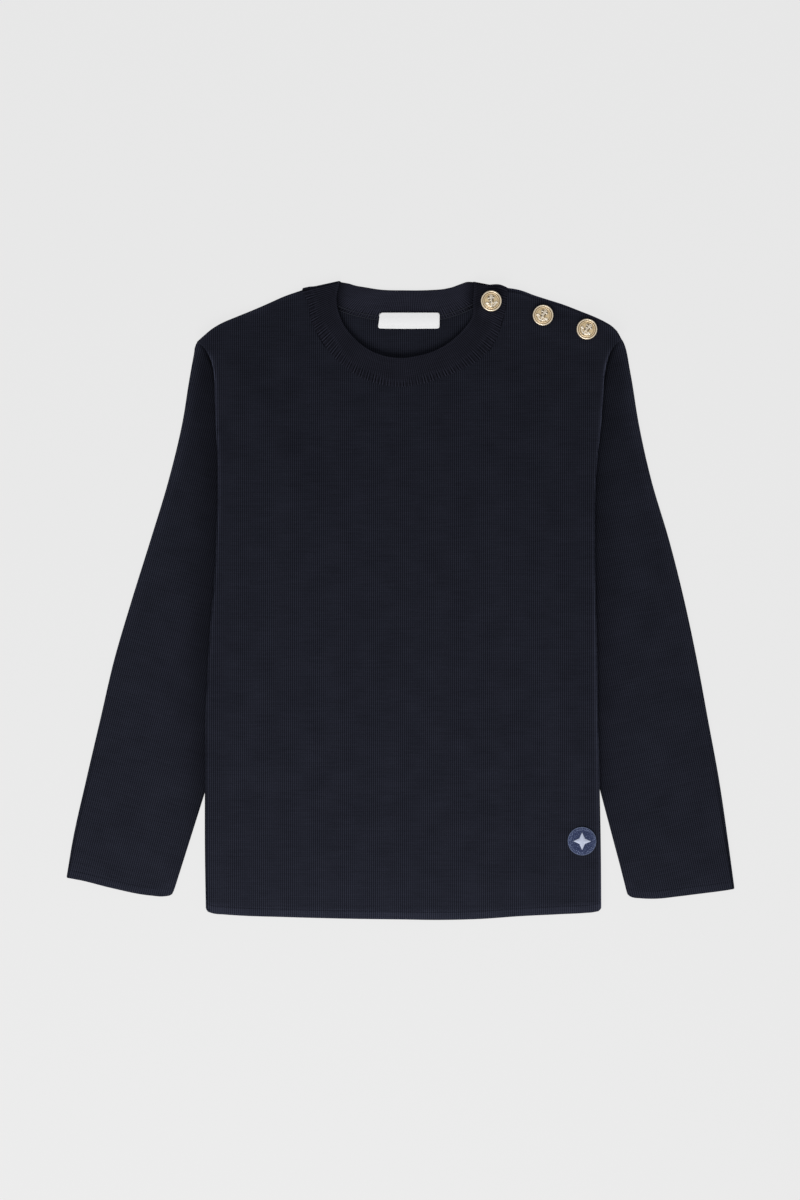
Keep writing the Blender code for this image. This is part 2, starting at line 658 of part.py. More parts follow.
def button(made_from):
    """A turned solid: shank foot, underside, rim and dome."""
    foot = highest(stand_top, made_from, SHANK_RADIUS) + SEAM_GAP
    seat = highest(np.maximum(front_top, band_top), made_from, BUTTON_PROFILE[0][0]) + BUTTON_LIFT
    profile = [(SHANK_RADIUS, foot), (SHANK_RADIUS, seat)]
    profile += [(radius, seat + height) for radius, height in BUTTON_PROFILE]
    angles = np.arange(BUTTON_SIDES) * 2 * math.pi / BUTTON_SIDES
    points = [(made_from.x + radius * math.cos(angle), made_from.y + radius * math.sin(angle), height)
              for radius, height in profile for angle in angles]
    rings = [[k * BUTTON_SIDES + side for side in range(BUTTON_SIDES)] for k in range(len(profile))]
    faces = [rings[0][::-1]]
    for first, last in zip(rings[:-1], rings[1:]):
        faces += ring_faces(first, last)
    crown = len(points)
    points.append((made_from.x, made_from.y, seat + BUTTON_TOP))
    faces += [(rings[-1][side - 1], rings[-1][side], crown) for side in range(BUTTON_SIDES)]
    solid(made_from.name, points, faces, GILT, smooth=True)


for made_from, holder in zip(BUTTONS, (band, front, front)):
    button(made_from)
    buttonhole(holder, made_from)


# Label: a flat woven tab over the back neck seam

label_across = np.linspace(-0.5, 0.5, 7)
label_up = np.linspace(-0.5, 0.5, 4)
label_plan = np.stack(np.meshgrid(LABEL_CENTRE.x + label_across * LABEL_SIZE[0],
                                  LABEL_CENTRE.y + label_up * LABEL_SIZE[1], indexing="ij"), axis=-1)
label_bottom = resting(np.maximum(back_top, band_below) + SEAM_GAP, label_plan)
cloth("neck_label", label_plan, label_bottom, label_bottom + LABEL_WALL,
      ((0.3, 1.0), (0.3, 0.0)), LABEL)


# Badge: a round woven patch, made from the front panel's own points moved out

BADGE_SIDES = 32
# Share of the radius, and share of the thickness, of the rings from under the middle round to the top
BADGE_PROFILE = ((0.55, 0.0), (1.0, 0.0), (1.0, 0.75), (0.95, 1.0), (0.55, 1.0))


def on_front(x, y, height):
    """A point of the badge: the front's own point, moved out."""
    return (x, y, height_at(front_top, np.array([x, y])) + SEAM_GAP + height * BADGE_WALL)


badge_angles = np.arange(BADGE_SIDES) * 2 * math.pi / BADGE_SIDES
badge_points = [on_front(BADGE_CENTRE.x + share * BADGE_RADIUS * math.cos(angle),
                         BADGE_CENTRE.y + share * BADGE_RADIUS * math.sin(angle), height)
                for share, height in BADGE_PROFILE for angle in badge_angles]
below, above = len(badge_points), len(badge_points) + 1
badge_points += [on_front(*BADGE_CENTRE, 0.0), on_front(*BADGE_CENTRE, 1.0)]
numbers = [[k * BADGE_SIDES + side for side in range(BADGE_SIDES)] for k in range(len(BADGE_PROFILE))]
badge_faces = []
for first, last in zip(numbers[:-1], numbers[1:]):
    badge_faces += ring_faces(first, last)
for side in range(BADGE_SIDES):
    badge_faces += [(numbers[0][side], numbers[0][side - 1], below),
                    (numbers[-1][side - 1], numbers[-1][side], above)]
solid("hem_badge", badge_points, badge_faces, BADGE)
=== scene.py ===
"""A child's sailor sweater in fine ribbed knit, laid flat on its back with the neck towards +Y.

Left and right are the wearer's, so the buttoned left shoulder is at +X. Lengths are in
millimetres, measured from the middle of the outline, and piece() turns them to metres. Each
cloth piece is a thin closed wall in the place of its CAD solid. From the bottom up come the
sleeves, the back, the back of the neckband, the button stand, the front and the front of the
neckband.
"""
import math
from typing import NamedTuple

import bmesh
import bpy
import numpy as np
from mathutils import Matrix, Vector


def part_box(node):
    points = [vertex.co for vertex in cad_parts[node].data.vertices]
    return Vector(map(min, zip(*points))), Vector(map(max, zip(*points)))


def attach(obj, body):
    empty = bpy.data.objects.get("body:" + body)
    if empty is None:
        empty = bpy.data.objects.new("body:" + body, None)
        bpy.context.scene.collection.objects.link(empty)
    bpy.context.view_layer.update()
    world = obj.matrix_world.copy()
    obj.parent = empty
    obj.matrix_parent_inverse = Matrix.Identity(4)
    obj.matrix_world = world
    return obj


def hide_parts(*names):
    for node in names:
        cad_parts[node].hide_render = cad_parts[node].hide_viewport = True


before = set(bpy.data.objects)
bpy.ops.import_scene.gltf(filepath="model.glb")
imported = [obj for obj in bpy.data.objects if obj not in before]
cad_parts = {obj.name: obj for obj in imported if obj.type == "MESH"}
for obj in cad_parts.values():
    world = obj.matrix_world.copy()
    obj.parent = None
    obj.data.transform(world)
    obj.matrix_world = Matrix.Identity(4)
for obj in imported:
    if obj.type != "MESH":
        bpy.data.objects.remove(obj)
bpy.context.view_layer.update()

MM = 0.001


# Camera: straight above the sweater and square to the surface, as the photograph was taken.
# The photograph is 960 mm high at the height of the cloth, with its middle beside the sweater's.

VIEW_HEIGHT = 960.0
VIEW_MIDDLE = (-0.4, 0.4)
CAMERA_UP = 2200.0
CLOTH_UP = 5.0
SENSOR = 36.0

camera = bpy.data.objects.new("camera", bpy.data.cameras.new("camera"))
camera.location = (VIEW_MIDDLE[0] * MM, VIEW_MIDDLE[1] * MM, CAMERA_UP * MM)
camera.data.sensor_fit = "VERTICAL"
camera.data.sensor_height = SENSOR
camera.data.sensor_width = SENSOR
camera.data.lens = SENSOR * (CAMERA_UP - CLOTH_UP) / VIEW_HEIGHT
bpy.context.scene.collection.objects.link(camera)
bpy.context.scene.camera = camera


# Floor and light: a pale light table in a bright studio. A broad soft lamp stands beyond the hem,
# so the cloth is brightest there, and the room's even white light fills the rest.

ROOM_LIGHT = 0.42
LAMP_POWER = 13.9
LAMP_AT = (-200.0, -820.0, 850.0)
LAMP_AIM = (0.0, -40.0, 0.0)
LAMP_WIDTH = 1100.0
LAMP_DEPTH = 700.0
FLOOR_WIDTH = 30000.0
FLOOR_GLOW = 0.768


def linear(colour):
    """An sRGB hex value as linear light."""
    shares = [int(colour[k:k + 2], 16) / 255 for k in (1, 3, 5)]
    return (*(share / 12.92 if share <= 0.04045 else ((share + 0.055) / 1.055)**2.4
              for share in shares), 1.0)


def node(tree, kind, links=None, **settings):
    """Adds a node with its settings. links gives inputs by name or number: a node or a socket is
    linked, and anything else is set. A Mix has its share at 0 and its two colours at 6 and 7, and a
    MapRange has the ends that it maps from at 1 and 2, and those that it maps to at 3 and 4."""
    made = tree.nodes.new("ShaderNode" + kind)
    for name, value in settings.items():
        setattr(made, name, value)
    for key, value in (links or {}).items():
        if isinstance(value, bpy.types.Node):
            value = value.outputs[0]
        if isinstance(value, bpy.types.NodeSocket):
            tree.links.new(value, made.inputs[key])
        else:
            made.inputs[key].default_value = value
    return made


def empty_material(name):
    """A material without nodes, and its tree."""
    made = bpy.data.materials.new(name)
    made.use_nodes = True
    made.node_tree.nodes.clear()
    return made, made.node_tree


def carry(mesh, name, values):
    """Gives each point of a mesh a value of its own, which a material reads."""
    mesh.attributes.new(name, "FLOAT", "POINT").data.foreach_set("value", np.float32(values))


def piece(name, points, faces, finish, flat=None, wear_and_painted_light=None):
    """An object from points in millimetres and faces, with its faces turned outwards.

    flat gives each point's place on the unrolled cloth, in millimetres, as the UV map.
    wear_and_painted_light says how much paler or darker each point is made: real wear, painted highlights
    and painted shade.
    """
    mesh = bpy.data.meshes.new(name)
    mesh.from_pydata((np.asarray(points, float) * MM).tolist(), [], [list(face) for face in faces])
    if flat is not None:
        corners = np.empty(len(mesh.loops), np.int32)
        mesh.loops.foreach_get("vertex_index", corners)
        layer = mesh.uv_layers.new(name="flat_mm")
        layer.data.foreach_set("uv", np.asarray(flat, np.float32)[corners].ravel())
    shape = bmesh.new()
    shape.from_mesh(mesh)
    bmesh.ops.recalc_face_normals(shape, faces=shape.faces[:])
    shape.to_mesh(mesh)
    shape.free()
    if wear_and_painted_light is not None:
        carry(mesh, "wear_and_painted_light", wear_and_painted_light)
    mesh.materials.append(finish)
    mesh.shade_smooth()
    made = bpy.data.objects.new(name, mesh)
    bpy.context.scene.collection.objects.link(made)
    return made


world = bpy.data.worlds.new("studio")
world.use_nodes = True
world.node_tree.nodes["Background"].inputs["Color"].default_value = linear("#FFFFFF")
world.node_tree.nodes["Background"].inputs["Strength"].default_value = ROOM_LIGHT
bpy.context.scene.world = world
bpy.context.scene.view_settings.view_transform = "Standard"

lamp = bpy.data.objects.new("lamp", bpy.data.lights.new("lamp", "AREA"))
lamp.data.shape = "RECTANGLE"
lamp.data.size = LAMP_WIDTH * MM
lamp.data.size_y = LAMP_DEPTH * MM
lamp.data.energy = LAMP_POWER
lamp.location = Vector(LAMP_AT) * MM
lamp.rotation_mode = "QUATERNION"
lamp.rotation_quaternion = (Vector(LAMP_AIM) - Vector(LAMP_AT)).to_track_quat("-Z", "Y")
bpy.context.scene.collection.objects.link(lamp)

# Opal acrylic, lit from behind: an even pale grey that takes only faint shadows
opal, tree = empty_material("opal acrylic light table")
surface = node(tree, "BsdfPrincipled", {
    "Base Color": linear("#3C3C3C"), "Roughness": 0.9, "Specular IOR Level": 0.1,
    "Emission Color": linear("#FFFFFF"), "Emission Strength": FLOOR_GLOW})
node(tree, "OutputMaterial", {"Surface": surface})

half_floor = FLOOR_WIDTH / 2
floor = piece("floor", [(-half_floor, -half_floor, 0), (half_floor, -half_floor, 0),
                        (half_floor, half_floor, 0), (-half_floor, half_floor, 0)],
              [(0, 1, 2, 3)], opal)


# Sleeves: two tubes knitted in fine rib along the arm, sewn into the armholes. Each lies flat
# with a fold down its outer edge and another down the underarm, and ends in a narrow cuff that
# is turned up inside and stitched. Their upper inner parts lie under the body.

SLEEVE_WALL = 1.6
SLEEVE_AIR = 0.8
SLEEVE_THICKNESS = 2 * SLEEVE_WALL + SLEEVE_AIR
SLEEVE_ROUNDING = 7.0
CUFF_TURN = 6.4
TURN_RISE = 0.35
TURN_STEP = 0.8
# The groove of a turned edge's stitches: its depth, its half width, and how far past the turn it is
STITCH_GROOVE = 0.3
STITCH_WIDTH = 0.45
STITCH_OFF = 0.3
# How much thinner the tube is at its folds, and how high a fold is, as shares of the tube
EDGE_THINNER = 0.4
FOLD_HEIGHT = 0.6
# The rings round the cuff's edge: each one's share of the tube's height, and how far back it lies
CUFF_EDGE_BACK = 0.7
CUFF_ROUNDING = ((0.86, 0.2), (0.60, 0.0), (0.34, 0.2))


class Plan(NamedTuple):
    """One point of an outline."""
    x: float
    y: float


class Crease(NamedTuple):
    """A soft ridge in the cloth: where it starts and ends, how far its middle bows to the left of
    that line, and its half width and height."""
    start_x: float
    start_y: float
    end_x: float
    end_y: float
    bow: float
    half_width: float
    height: float


RIGHT_SLEEVE_OUTER = (
    Plan(-267.6, -222.0), Plan(-262.5, -191.6), Plan(-251.8, -143.6), Plan(-240.6, -95.6),
    Plan(-229.4, -47.6), Plan(-215.3, 0.4), Plan(-200.3, 48.4), Plan(-185.8, 96.4),
    Plan(-174.4, 144.4), Plan(-169.3, 176.4), Plan(-166.9, 190.0), Plan(-165.4, 198.0),
    Plan(-164.4, 204.2), Plan(-161.6, 208.4), Plan(-157.4, 210.4),
)
RIGHT_SLEEVE_MOUTH = (
    Plan(-157.4, 210.4), Plan(-152.0, 207.0), Plan(-147.0, 199.5), Plan(-141.0, 186.0),
    Plan(-132.0, 162.0), Plan(-120.0, 132.0), Plan(-103.0, 101.0), Plan(-86.0, 76.0),
)
RIGHT_SLEEVE_INNER = (
    Plan(-181.0, -231.0), Plan(-158.0, -158.0), Plan(-121.0, -40.0), Plan(-86.0, 76.0),
)
RIGHT_CUFF = (
    Plan(-267.6, -222.0), Plan(-256.4, -224.0), Plan(-232.4, -230.0), Plan(-200.4, -236.2),
    Plan(-188.4, -236.8), Plan(-183.4, -235.6), Plan(-181.0, -231.0),
)
LEFT_SLEEVE_OUTER = (
    Plan(267.6, -231.0), Plan(262.3, -191.6), Plan(255.2, -143.6), Plan(246.4, -95.6),
    Plan(237.5, -47.6), Plan(227.3, 0.4), Plan(215.2, 48.4), Plan(201.0, 96.4),
    Plan(190.4, 144.4), Plan(185.3, 176.4), Plan(183.2, 188.0), Plan(181.7, 196.9),
    Plan(179.8, 204.2), Plan(176.6, 210.2), Plan(172.0, 213.6),
)
LEFT_SLEEVE_MOUTH = (
    Plan(100.0, 76.0), Plan(116.0, 101.0), Plan(132.0, 132.0), Plan(145.0, 162.0),
    Plan(156.0, 186.0), Plan(161.5, 200.0), Plan(166.6, 209.4), Plan(172.0, 213.6),
)
LEFT_SLEEVE_INNER = (
    Plan(180.8, -231.0), Plan(161.4, -158.0), Plan(131.0, -40.0), Plan(100.0, 76.0),
)
LEFT_CUFF = (
    Plan(180.8, -231.0), Plan(182.2, -235.8), Plan(184.8, -237.4), Plan(191.6, -238.4),
    Plan(203.6, -238.8), Plan(223.6, -236.8), Plan(239.6, -234.8), Plan(255.6, -232.8),
    Plan(267.6, -231.0),
)

# On top, and on the side that lies on the surface
RIGHT_SLEEVE_CREASES = (
    Crease(-172, 158, -156, 60, 6, 5.0, 0.7), Crease(-196, 40, -164, -12, -5, 6.0, 0.6),
    Crease(-226, -58, -176, -92, 7, 7.0, 0.8), Crease(-232, -100, -190, -150, -6, 6.5, 0.5),
    Crease(-258, -190, -214, -168, 4, 6.0, 0.5), Crease(-206, -20, -222, -120, 5, 9.0, 0.6),
    Crease(-186, -176, -206, -222, 3, 5.0, 0.45), Crease(-168, 196, -160, 168, 2, 2.6, 0.9),
)
LEFT_SLEEVE_CREASES = (
    Crease(184, 166, 168, 72, -5, 5.0, 0.7), Crease(210, 52, 176, 8, 6, 6.0, 0.6),
    Crease(236, -38, 186, -76, -6, 7.0, 0.8), Crease(204, -60, 230, -150, -5, 9.0, 0.6),
    Crease(248, -118, 200, -142, 5, 6.0, 0.5), Crease(256, -196, 206, -176, -5, 6.5, 0.5),
    Crease(192, -190, 212, -228, 3, 5.0, 0.4), Crease(180, 196, 172, 170, -2, 2.6, 0.9),
)
RIGHT_SLEEVE_CREASES_BELOW = (
    Crease(-170, 150, -142, 88, 5, 5.0, 0.35), Crease(-214, -6, -150, -30, -6, 6.0, 0.4),
    Crease(-238, -110, -172, -128, 5, 7.0, 0.4), Crease(-252, -184, -200, -196, -4, 5.5, 0.35),
)
LEFT_SLEEVE_CREASES_BELOW = (
    Crease(186, 148, 150, 96, -5, 5.0, 0.35), Crease(224, -4, 150, -26, 6, 6.0, 0.4),
    Crease(246, -104, 172, -136, -5, 7.0, 0.4), Crease(258, -200, 204, -188, 4, 5.5, 0.35),
)

# Rows up the sleeve: close together over the turned cuff, then an even spacing
SLEEVE_ROWS = np.concatenate([[0, 1.9, 3.4, 4.8, 5.6, 6.1, 6.6, 7.1, 7.8, 9.2],
                              np.arange(12, 436, 3.4), [436.5, 438.5]]) / 438.5
SLEEVE_ACROSS = np.concatenate([[0, 0.012, 0.028, 0.05], np.linspace(0.075, 0.925, 40),
                                [0.95, 0.972, 0.988, 1]])
FOLD_ANGLES = np.radians([72, 54, 36, 18, 0, -18, -36, -54, -72])


def through(points, steps=32):
    """A smooth curve through points: cubic spans whose end slopes average their neighbours'."""
    knots = np.array([tuple(point) for point in points], float)
    span = np.diff(knots, axis=0)
    chord = np.linalg.norm(span, axis=1)[:, None]
    slope = span / chord
    tangent = np.vstack([slope[:1], slope[1:], slope[-1:]])
    tangent[1:-1] = (slope[:-1] * chord[1:] + slope[1:] * chord[:-1]) / (chord[1:] + chord[:-1])
    t = (np.arange(steps) / steps)[None, :, None]
    first, last = knots[:-1, None], knots[1:, None]
    leave, arrive = (tangent[:-1] * chord)[:, None], (tangent[1:] * chord)[:, None]
    curve = ((2 * t**3 - 3 * t**2 + 1) * first + (t**3 - 2 * t**2 + t) * leave
             + (3 * t**2 - 2 * t**3) * last + (t**3 - t**2) * arrive)
    return np.vstack([curve.reshape(-1, 2), knots[-1]])


def run_along(line):
    """How far each point of a line lies along it."""
    return np.concatenate([[0], np.cumsum(np.linalg.norm(np.diff(line, axis=0), axis=1))])


def at(curve, fractions):
    """The points of a curve at fractions of its length."""
    length = run_along(curve)
    places = np.asarray(fractions) * length[-1]
    return np.stack([np.interp(places, length, curve[:, axis]) for axis in (0, 1)], axis=-1)


def sideways(curve):
    """Unit directions to the left of a curve, at each of its points."""
    along = np.gradient(curve, axis=0)
    along /= np.linalg.norm(along, axis=1)[:, None]
    return np.stack([-along[:, 1], along[:, 0]], axis=-1)


# How quickly a patch forgets the bends of its side edges, as a power
SIDE_HOLD = 12


def patch(low, high, start, end, across, up):
    """A plan grid between four edges: straight lines join the low and high edges, and the side
    edges bend those close to them."""
    u = np.asarray(across)[:, None, None]
    v = np.asarray(up)[None, :, None]
    straight = (1 - v) * low[:, None] + v * high[:, None]
    return (straight + (1 - u)**SIDE_HOLD * (start[None] - straight[:1])
            + u**SIDE_HOLD * (end[None] - straight[-1:]))


def ramp(value, start, end):
    """0 up to start and 1 from end on, with a straight line between. It may run downwards."""
    return np.clip((value - start) / (end - start), 0, 1)


def bell(distance, half_width):
    """A bell curve: 1 at no distance, 0.37 at its half width and near 0 at twice that."""
    return np.exp(-(distance / half_width)**2)


def creased(places, creases):
    """The height that creases add at plan places: each is a bell across its bowed line, and fades
    to nothing at both ends."""
    height = np.zeros(places.shape[:-1])
    for crease in creases:
        run = np.array([crease.end_x - crease.start_x, crease.end_y - crease.start_y], float)
        length = np.linalg.norm(run)
        run /= length
        from_start = places - (crease.start_x, crease.start_y)
        share = np.clip(from_start @ run / length, 0, 1)
        off = from_start @ (-run[1], run[0]) - crease.bow * 4 * share * (1 - share)
        height += crease.height * bell(off, crease.half_width) * np.sin(math.pi * share)
    return height


def turned_edge(distance, turn):
    """The height that a turned-up edge adds, at distances from it: a low step that ends in the
    groove of its stitches."""
    step = ramp(distance, turn + TURN_STEP / 2, turn - TURN_STEP / 2)
    groove = bell(distance - turn - STITCH_OFF, STITCH_WIDTH)
    return TURN_RISE * step**2 * (3 - 2 * step) - STITCH_GROOVE * groove


def grid_faces(columns, rows, first=0):
    """Quads of a grid whose points run row by row within each column."""
    corner = first + (np.arange(columns - 1)[:, None] * rows + np.arange(rows - 1)).ravel()
    return np.column_stack([corner, corner + rows, corner + rows + 1, corner + 1])


def ring_faces(first, second):
    """Quads between two closed rings of point numbers."""
    return np.column_stack([np.roll(first, 1), first, second, np.roll(second, 1)])


def skin(numbers, closed=False):
    """Quads from each ring of point numbers to the next, and from the last to the first where the
    rings themselves run in a circle."""
    rings = np.vstack([numbers[-1:], numbers]) if closed else numbers
    return np.vstack([ring_faces(ring, after) for ring, after in zip(rings[:-1], rings[1:])]).tolist()


def capped(numbers):
    """A skin whose first and last rings close in triangles to two poles, which are numbered next."""
    faces = skin(numbers)
    for ring, pole in ((numbers[0], numbers.size), (numbers[-1], numbers.size + 1)):
        faces += np.column_stack([ring, np.roll(ring, 1), np.full(len(ring), pole)]).tolist()
    return faces


# Fine rib in dyed cotton: matt and nearly black, with a slight bloom of fibres. Raised wales run
# along the cloth with painted shade in the furrows between them, and the dye and the courses vary
# a little. The courses are drawn about twice as coarse as they are, so that they show.

WALE = 1.66
COURSE = 1.5


def knit(name, crest, furrow, wale, course, depth):
    """A knitted finish on the flat map: rows of slanted stitches in wales, over a slow mottle."""
    made, tree = empty_material(name)
    flat = node(tree, "UVMap", uv_map="flat_mm")
    parts = node(tree, "SeparateXYZ", {0: flat})
    across, along = parts.outputs["X"], parts.outputs["Y"]
    # From 0 in a furrow, through 1 on each half of a stitch, to a shallow split between them
    turn = node(tree, "Math", {0: across, 1: math.pi / wale}, operation="MULTIPLY")
    swing = node(tree, "Math", {0: turn}, operation="SINE")
    from_furrow = node(tree, "Math", {0: swing}, operation="ABSOLUTE")
    crown = node(tree, "Math", {0: from_furrow, 1: 0.75}, operation="POWER")
    # Each stitch slants down towards the middle of its wale
    slant = node(tree, "Math", {0: from_furrow, 1: 0.35}, operation="MULTIPLY")
    course_turn = node(tree, "Math", {0: along, 1: 1 / course}, operation="MULTIPLY")
    stitch_place = node(tree, "Math", {0: course_turn, 1: slant}, operation="ADD")
    stitch_turn = node(tree, "Math", {0: stitch_place, 1: math.tau}, operation="MULTIPLY")
    stitch = node(tree, "Math", {0: stitch_turn}, operation="SINE")
    stitch_rise = node(tree, "Math", {0: stitch, 1: 0.12, 2: 0.0}, operation="MULTIPLY_ADD")
    relief = node(tree, "Math", {0: crown, 1: stitch_rise}, operation="ADD")
    # Uneven yarn: some courses run thicker or paler than their neighbours for a few centimetres
    streak_place = node(tree, "Mapping", {"Vector": flat, "Scale": (0.05, 0.55, 1.0)})
    streak = node(tree, "TexNoise", {"Vector": streak_place, "Scale": 1.0, "Detail": 3.0})
    patch_of_dye = node(tree, "TexNoise", {"Vector": flat, "Scale": 0.045, "Detail": 3.0})
    fluff = node(tree, "TexNoise", {"Vector": flat, "Scale": 0.9, "Detail": 2.0})
    uneven = node(tree, "Math", {0: streak, 1: patch_of_dye}, operation="ADD")
    uneven = node(tree, "Math", {0: uneven, 1: fluff}, operation="ADD")
    uneven = node(tree, "MapRange", {0: uneven, 1: 1.1, 2: 1.9, 3: 0.80, 4: 1.20})
    # Real wear and painted highlights make the colour paler, and painted shade makes it darker
    wear_and_painted_light = node(tree, "Attribute", attribute_name="wear_and_painted_light")
    wear_and_light_scale = node(tree, "Math", {0: wear_and_painted_light.outputs["Fac"], 1: 1.0}, operation="ADD")
    uneven = node(tree, "Math", {0: uneven, 1: wear_and_light_scale}, operation="MULTIPLY")
    lit = node(tree, "MapRange", {0: relief, 1: 0.1, 2: 1.05, 3: 0.0, 4: 1.0})
    # Painted shade: the colour runs from the crest's to the darker furrow's with the relief
    dye = node(tree, "Mix", {0: lit, 6: linear(furrow), 7: linear(crest)}, data_type="RGBA")
    shaded = node(tree, "VectorMath", {0: dye.outputs[2], "Scale": uneven}, operation="SCALE")
    bump = node(tree, "Bump", {"Height": relief, "Distance": depth * MM, "Strength": 1.0})
    cloth = node(tree, "BsdfPrincipled", {
        "Base Color": shaded, "Roughness": 0.95, "Specular IOR Level": 0.05, "Sheen Weight": 0.03,
        "Sheen Roughness": 0.4, "Sheen Tint": linear("#8A90B0"), "Normal": bump})
    node(tree, "OutputMaterial", {"Surface": cloth})
    return made


FINE_RIB = knit("navy cotton fine rib", "#23252F", "#0B0B12", WALE, COURSE, 0.3)


def belongs(made, stands_for=None):
    """Fixes a piece to the sweater, in place of its CAD solid if it has one."""
    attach(made, "root")
    if stands_for:
        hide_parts(stands_for)


def sleeve(name, cuff, mouth, start, end, creases, creases_below):
    """A flattened tube. Rings of points run round it: down its outside from armhole to cuff, round
    the cuff's edge, and up its inside. A ring follows the upper side, a half-round fold, the
    lower side and the other fold. Returns its mesh parts and outline."""
    radius = SLEEVE_THICKNESS / 2
    start_edge, end_edge = at(through(start), SLEEVE_ROWS), at(through(end), SLEEVE_ROWS)
    start_out, end_out = sideways(start_edge), -sideways(end_edge)
    start_line, end_line = start_edge - start_out * radius, end_edge - end_out * radius
    low, high = at(through(cuff), SLEEVE_ACROSS), at(through(mouth), SLEEVE_ACROSS)
    low[0], low[-1] = start_line[0], end_line[0]
    high[0], high[-1] = start_line[-1], end_line[-1]
    plan = patch(low, high, start_line, end_line, SLEEVE_ACROSS, SLEEVE_ROWS)
    width = np.linalg.norm(plan[-1] - plan[0], axis=-1)
    inwards = np.minimum(SLEEVE_ACROSS, 1 - SLEEVE_ACROSS)[:, None] * width[None]
    settled = ramp(inwards, 0, SLEEVE_ROUNDING)
    fullness = 1 - EDGE_THINNER * (1 - settled)**2
    from_cuff = np.linalg.norm(plan - plan[:, :1], axis=-1)
    turn = turned_edge(from_cuff, CUFF_TURN)
    lift = (creased(plan, creases) + turn) * settled
    lift_below = (creased(plan, creases_below) - turn.clip(-1, 0)) * settled
    down_sleeve = np.mean(low, axis=0) - np.mean(high, axis=0)
    down_sleeve /= np.linalg.norm(down_sleeve)
    rings, flats = [], []

    def ring(row, half, back):
        """One ring: half is its half height, and back how far it is pulled from the cuff."""
        shift = -down_sleeve * back
        upper = plan[:, row] + shift
        rise = half * fullness[:, row]
        edge = half * FOLD_HEIGHT
        top = np.column_stack([upper, radius + rise + lift[:, row]])
        bottom = np.column_stack([upper, radius - rise + lift_below[:, row]])[::-1]
        folds = []
        for line, out, angles in ((end_line, end_out, FOLD_ANGLES),
                                  (start_line, start_out, FOLD_ANGLES[::-1])):
            place = line[row] + shift + out[row] * (half * np.cos(angles))[:, None]
            folds.append(np.column_stack([place, radius + edge * np.sin(angles)]))
        points = np.vstack([top, folds[0], bottom, folds[1]])
        rings.append(points)
        side = np.array([-down_sleeve[1], down_sleeve[0]])
        flats.append(np.column_stack([points[:, :2] @ side, points[:, :2] @ -down_sleeve]))

    rows = len(SLEEVE_ROWS)
    for row in range(rows - 1, -1, -1):
        ring(row, radius, CUFF_EDGE_BACK if row == 0 else 0.0)
    for share, back in CUFF_ROUNDING:
        ring(0, radius * share, back)
    for row in range(rows):
        ring(row, SLEEVE_AIR / 2, CUFF_EDGE_BACK if row == 0 else 0.0)
    around = len(rings[0])
    numbers = np.arange(len(rings) * around).reshape(-1, around)
    outline = np.vstack([through(start), through(mouth), through(end)[::-1], through(cuff)[::-1]])
    made = piece(name, np.vstack(rings), skin(numbers, closed=True), FINE_RIB, np.vstack(flats))
    return made, outline


right_sleeve, right_outline = sleeve(
    "right_sleeve", RIGHT_CUFF, RIGHT_SLEEVE_MOUTH, RIGHT_SLEEVE_OUTER, RIGHT_SLEEVE_INNER,
    RIGHT_SLEEVE_CREASES, RIGHT_SLEEVE_CREASES_BELOW)
left_sleeve, left_outline = sleeve(
    "left_sleeve", LEFT_CUFF, LEFT_SLEEVE_MOUTH, LEFT_SLEEVE_INNER, LEFT_SLEEVE_OUTER,
    LEFT_SLEEVE_CREASES, LEFT_SLEEVE_CREASES_BELOW)
for made, cad_name in ((right_sleeve, "sleeve_right"), (left_sleeve, "sleeve_left")):
    belongs(made, cad_name)


# Back: one knitted panel with a shallow round neck. It lies on the surface and over the inner
# halves of both sleeves, and its hem is turned up and stitched. Its inside shows in the neck.

PANEL_WALL = 1.6
SEAM_GAP = 0.3
DRAPE = 24.0
HEM_TURN = 6.4
# The share of the hem that lies under each shoulder
SHOULDER_WIDTH = 0.22

RIGHT_SIDE = (
    Plan(-155.8, -246.1), Plan(-156.4, -199.6), Plan(-156.4, -146.0), Plan(-156.0, -95.0),
    Plan(-154.3, -58.0), Plan(-152.2, -21.0), Plan(-149.0, 16.4), Plan(-147.1, 52.4),
    Plan(-146.2, 90.0), Plan(-146.4, 118.0), Plan(-147.6, 140.0), Plan(-148.3, 160.4),
    Plan(-148.7, 176.4), Plan(-150.2, 187.6), Plan(-152.4, 194.0), Plan(-155.2, 199.6),
    Plan(-159.0, 204.1), Plan(-162.8, 206.6),
)
LEFT_SIDE = (
    Plan(160.6, -245.9), Plan(160.2, -199.6), Plan(159.2, -146.0), Plan(158.0, -95.0),
    Plan(156.8, -21.0), Plan(155.8, 16.4), Plan(155.4, 48.4), Plan(155.6, 80.4),
    Plan(157.3, 112.4), Plan(160.0, 136.4), Plan(161.8, 160.4), Plan(162.8, 176.4),
    Plan(164.4, 187.6), Plan(166.2, 194.4), Plan(168.8, 200.4), Plan(172.6, 205.4),
    Plan(176.8, 208.8),
)
HEM = (
    Plan(-155.8, -246.1), Plan(-154.6, -248.7), Plan(-150.6, -250.4), Plan(-141.2, -251.5),
    Plan(-128.4, -252.4), Plan(-96.0, -253.5), Plan(-64.4, -254.4), Plan(-32.0, -255.1),
    Plan(0.0, -255.5), Plan(32.0, -255.9), Plan(64.0, -255.1), Plan(95.6, -252.9),
    Plan(128.0, -251.3), Plan(147.6, -250.2), Plan(155.0, -249.4), Plan(159.2, -248.1),
    Plan(160.6, -245.9),
)
RIGHT_SHOULDER = (
    Plan(-162.8, 206.6), Plan(-157.2, 211.7), Plan(-150.8, 217.1), Plan(-144.4, 221.1),
    Plan(-131.6, 226.9), Plan(-118.8, 232.3), Plan(-106.0, 237.9), Plan(-93.2, 243.6),
    Plan(-78.0, 248.9),
)
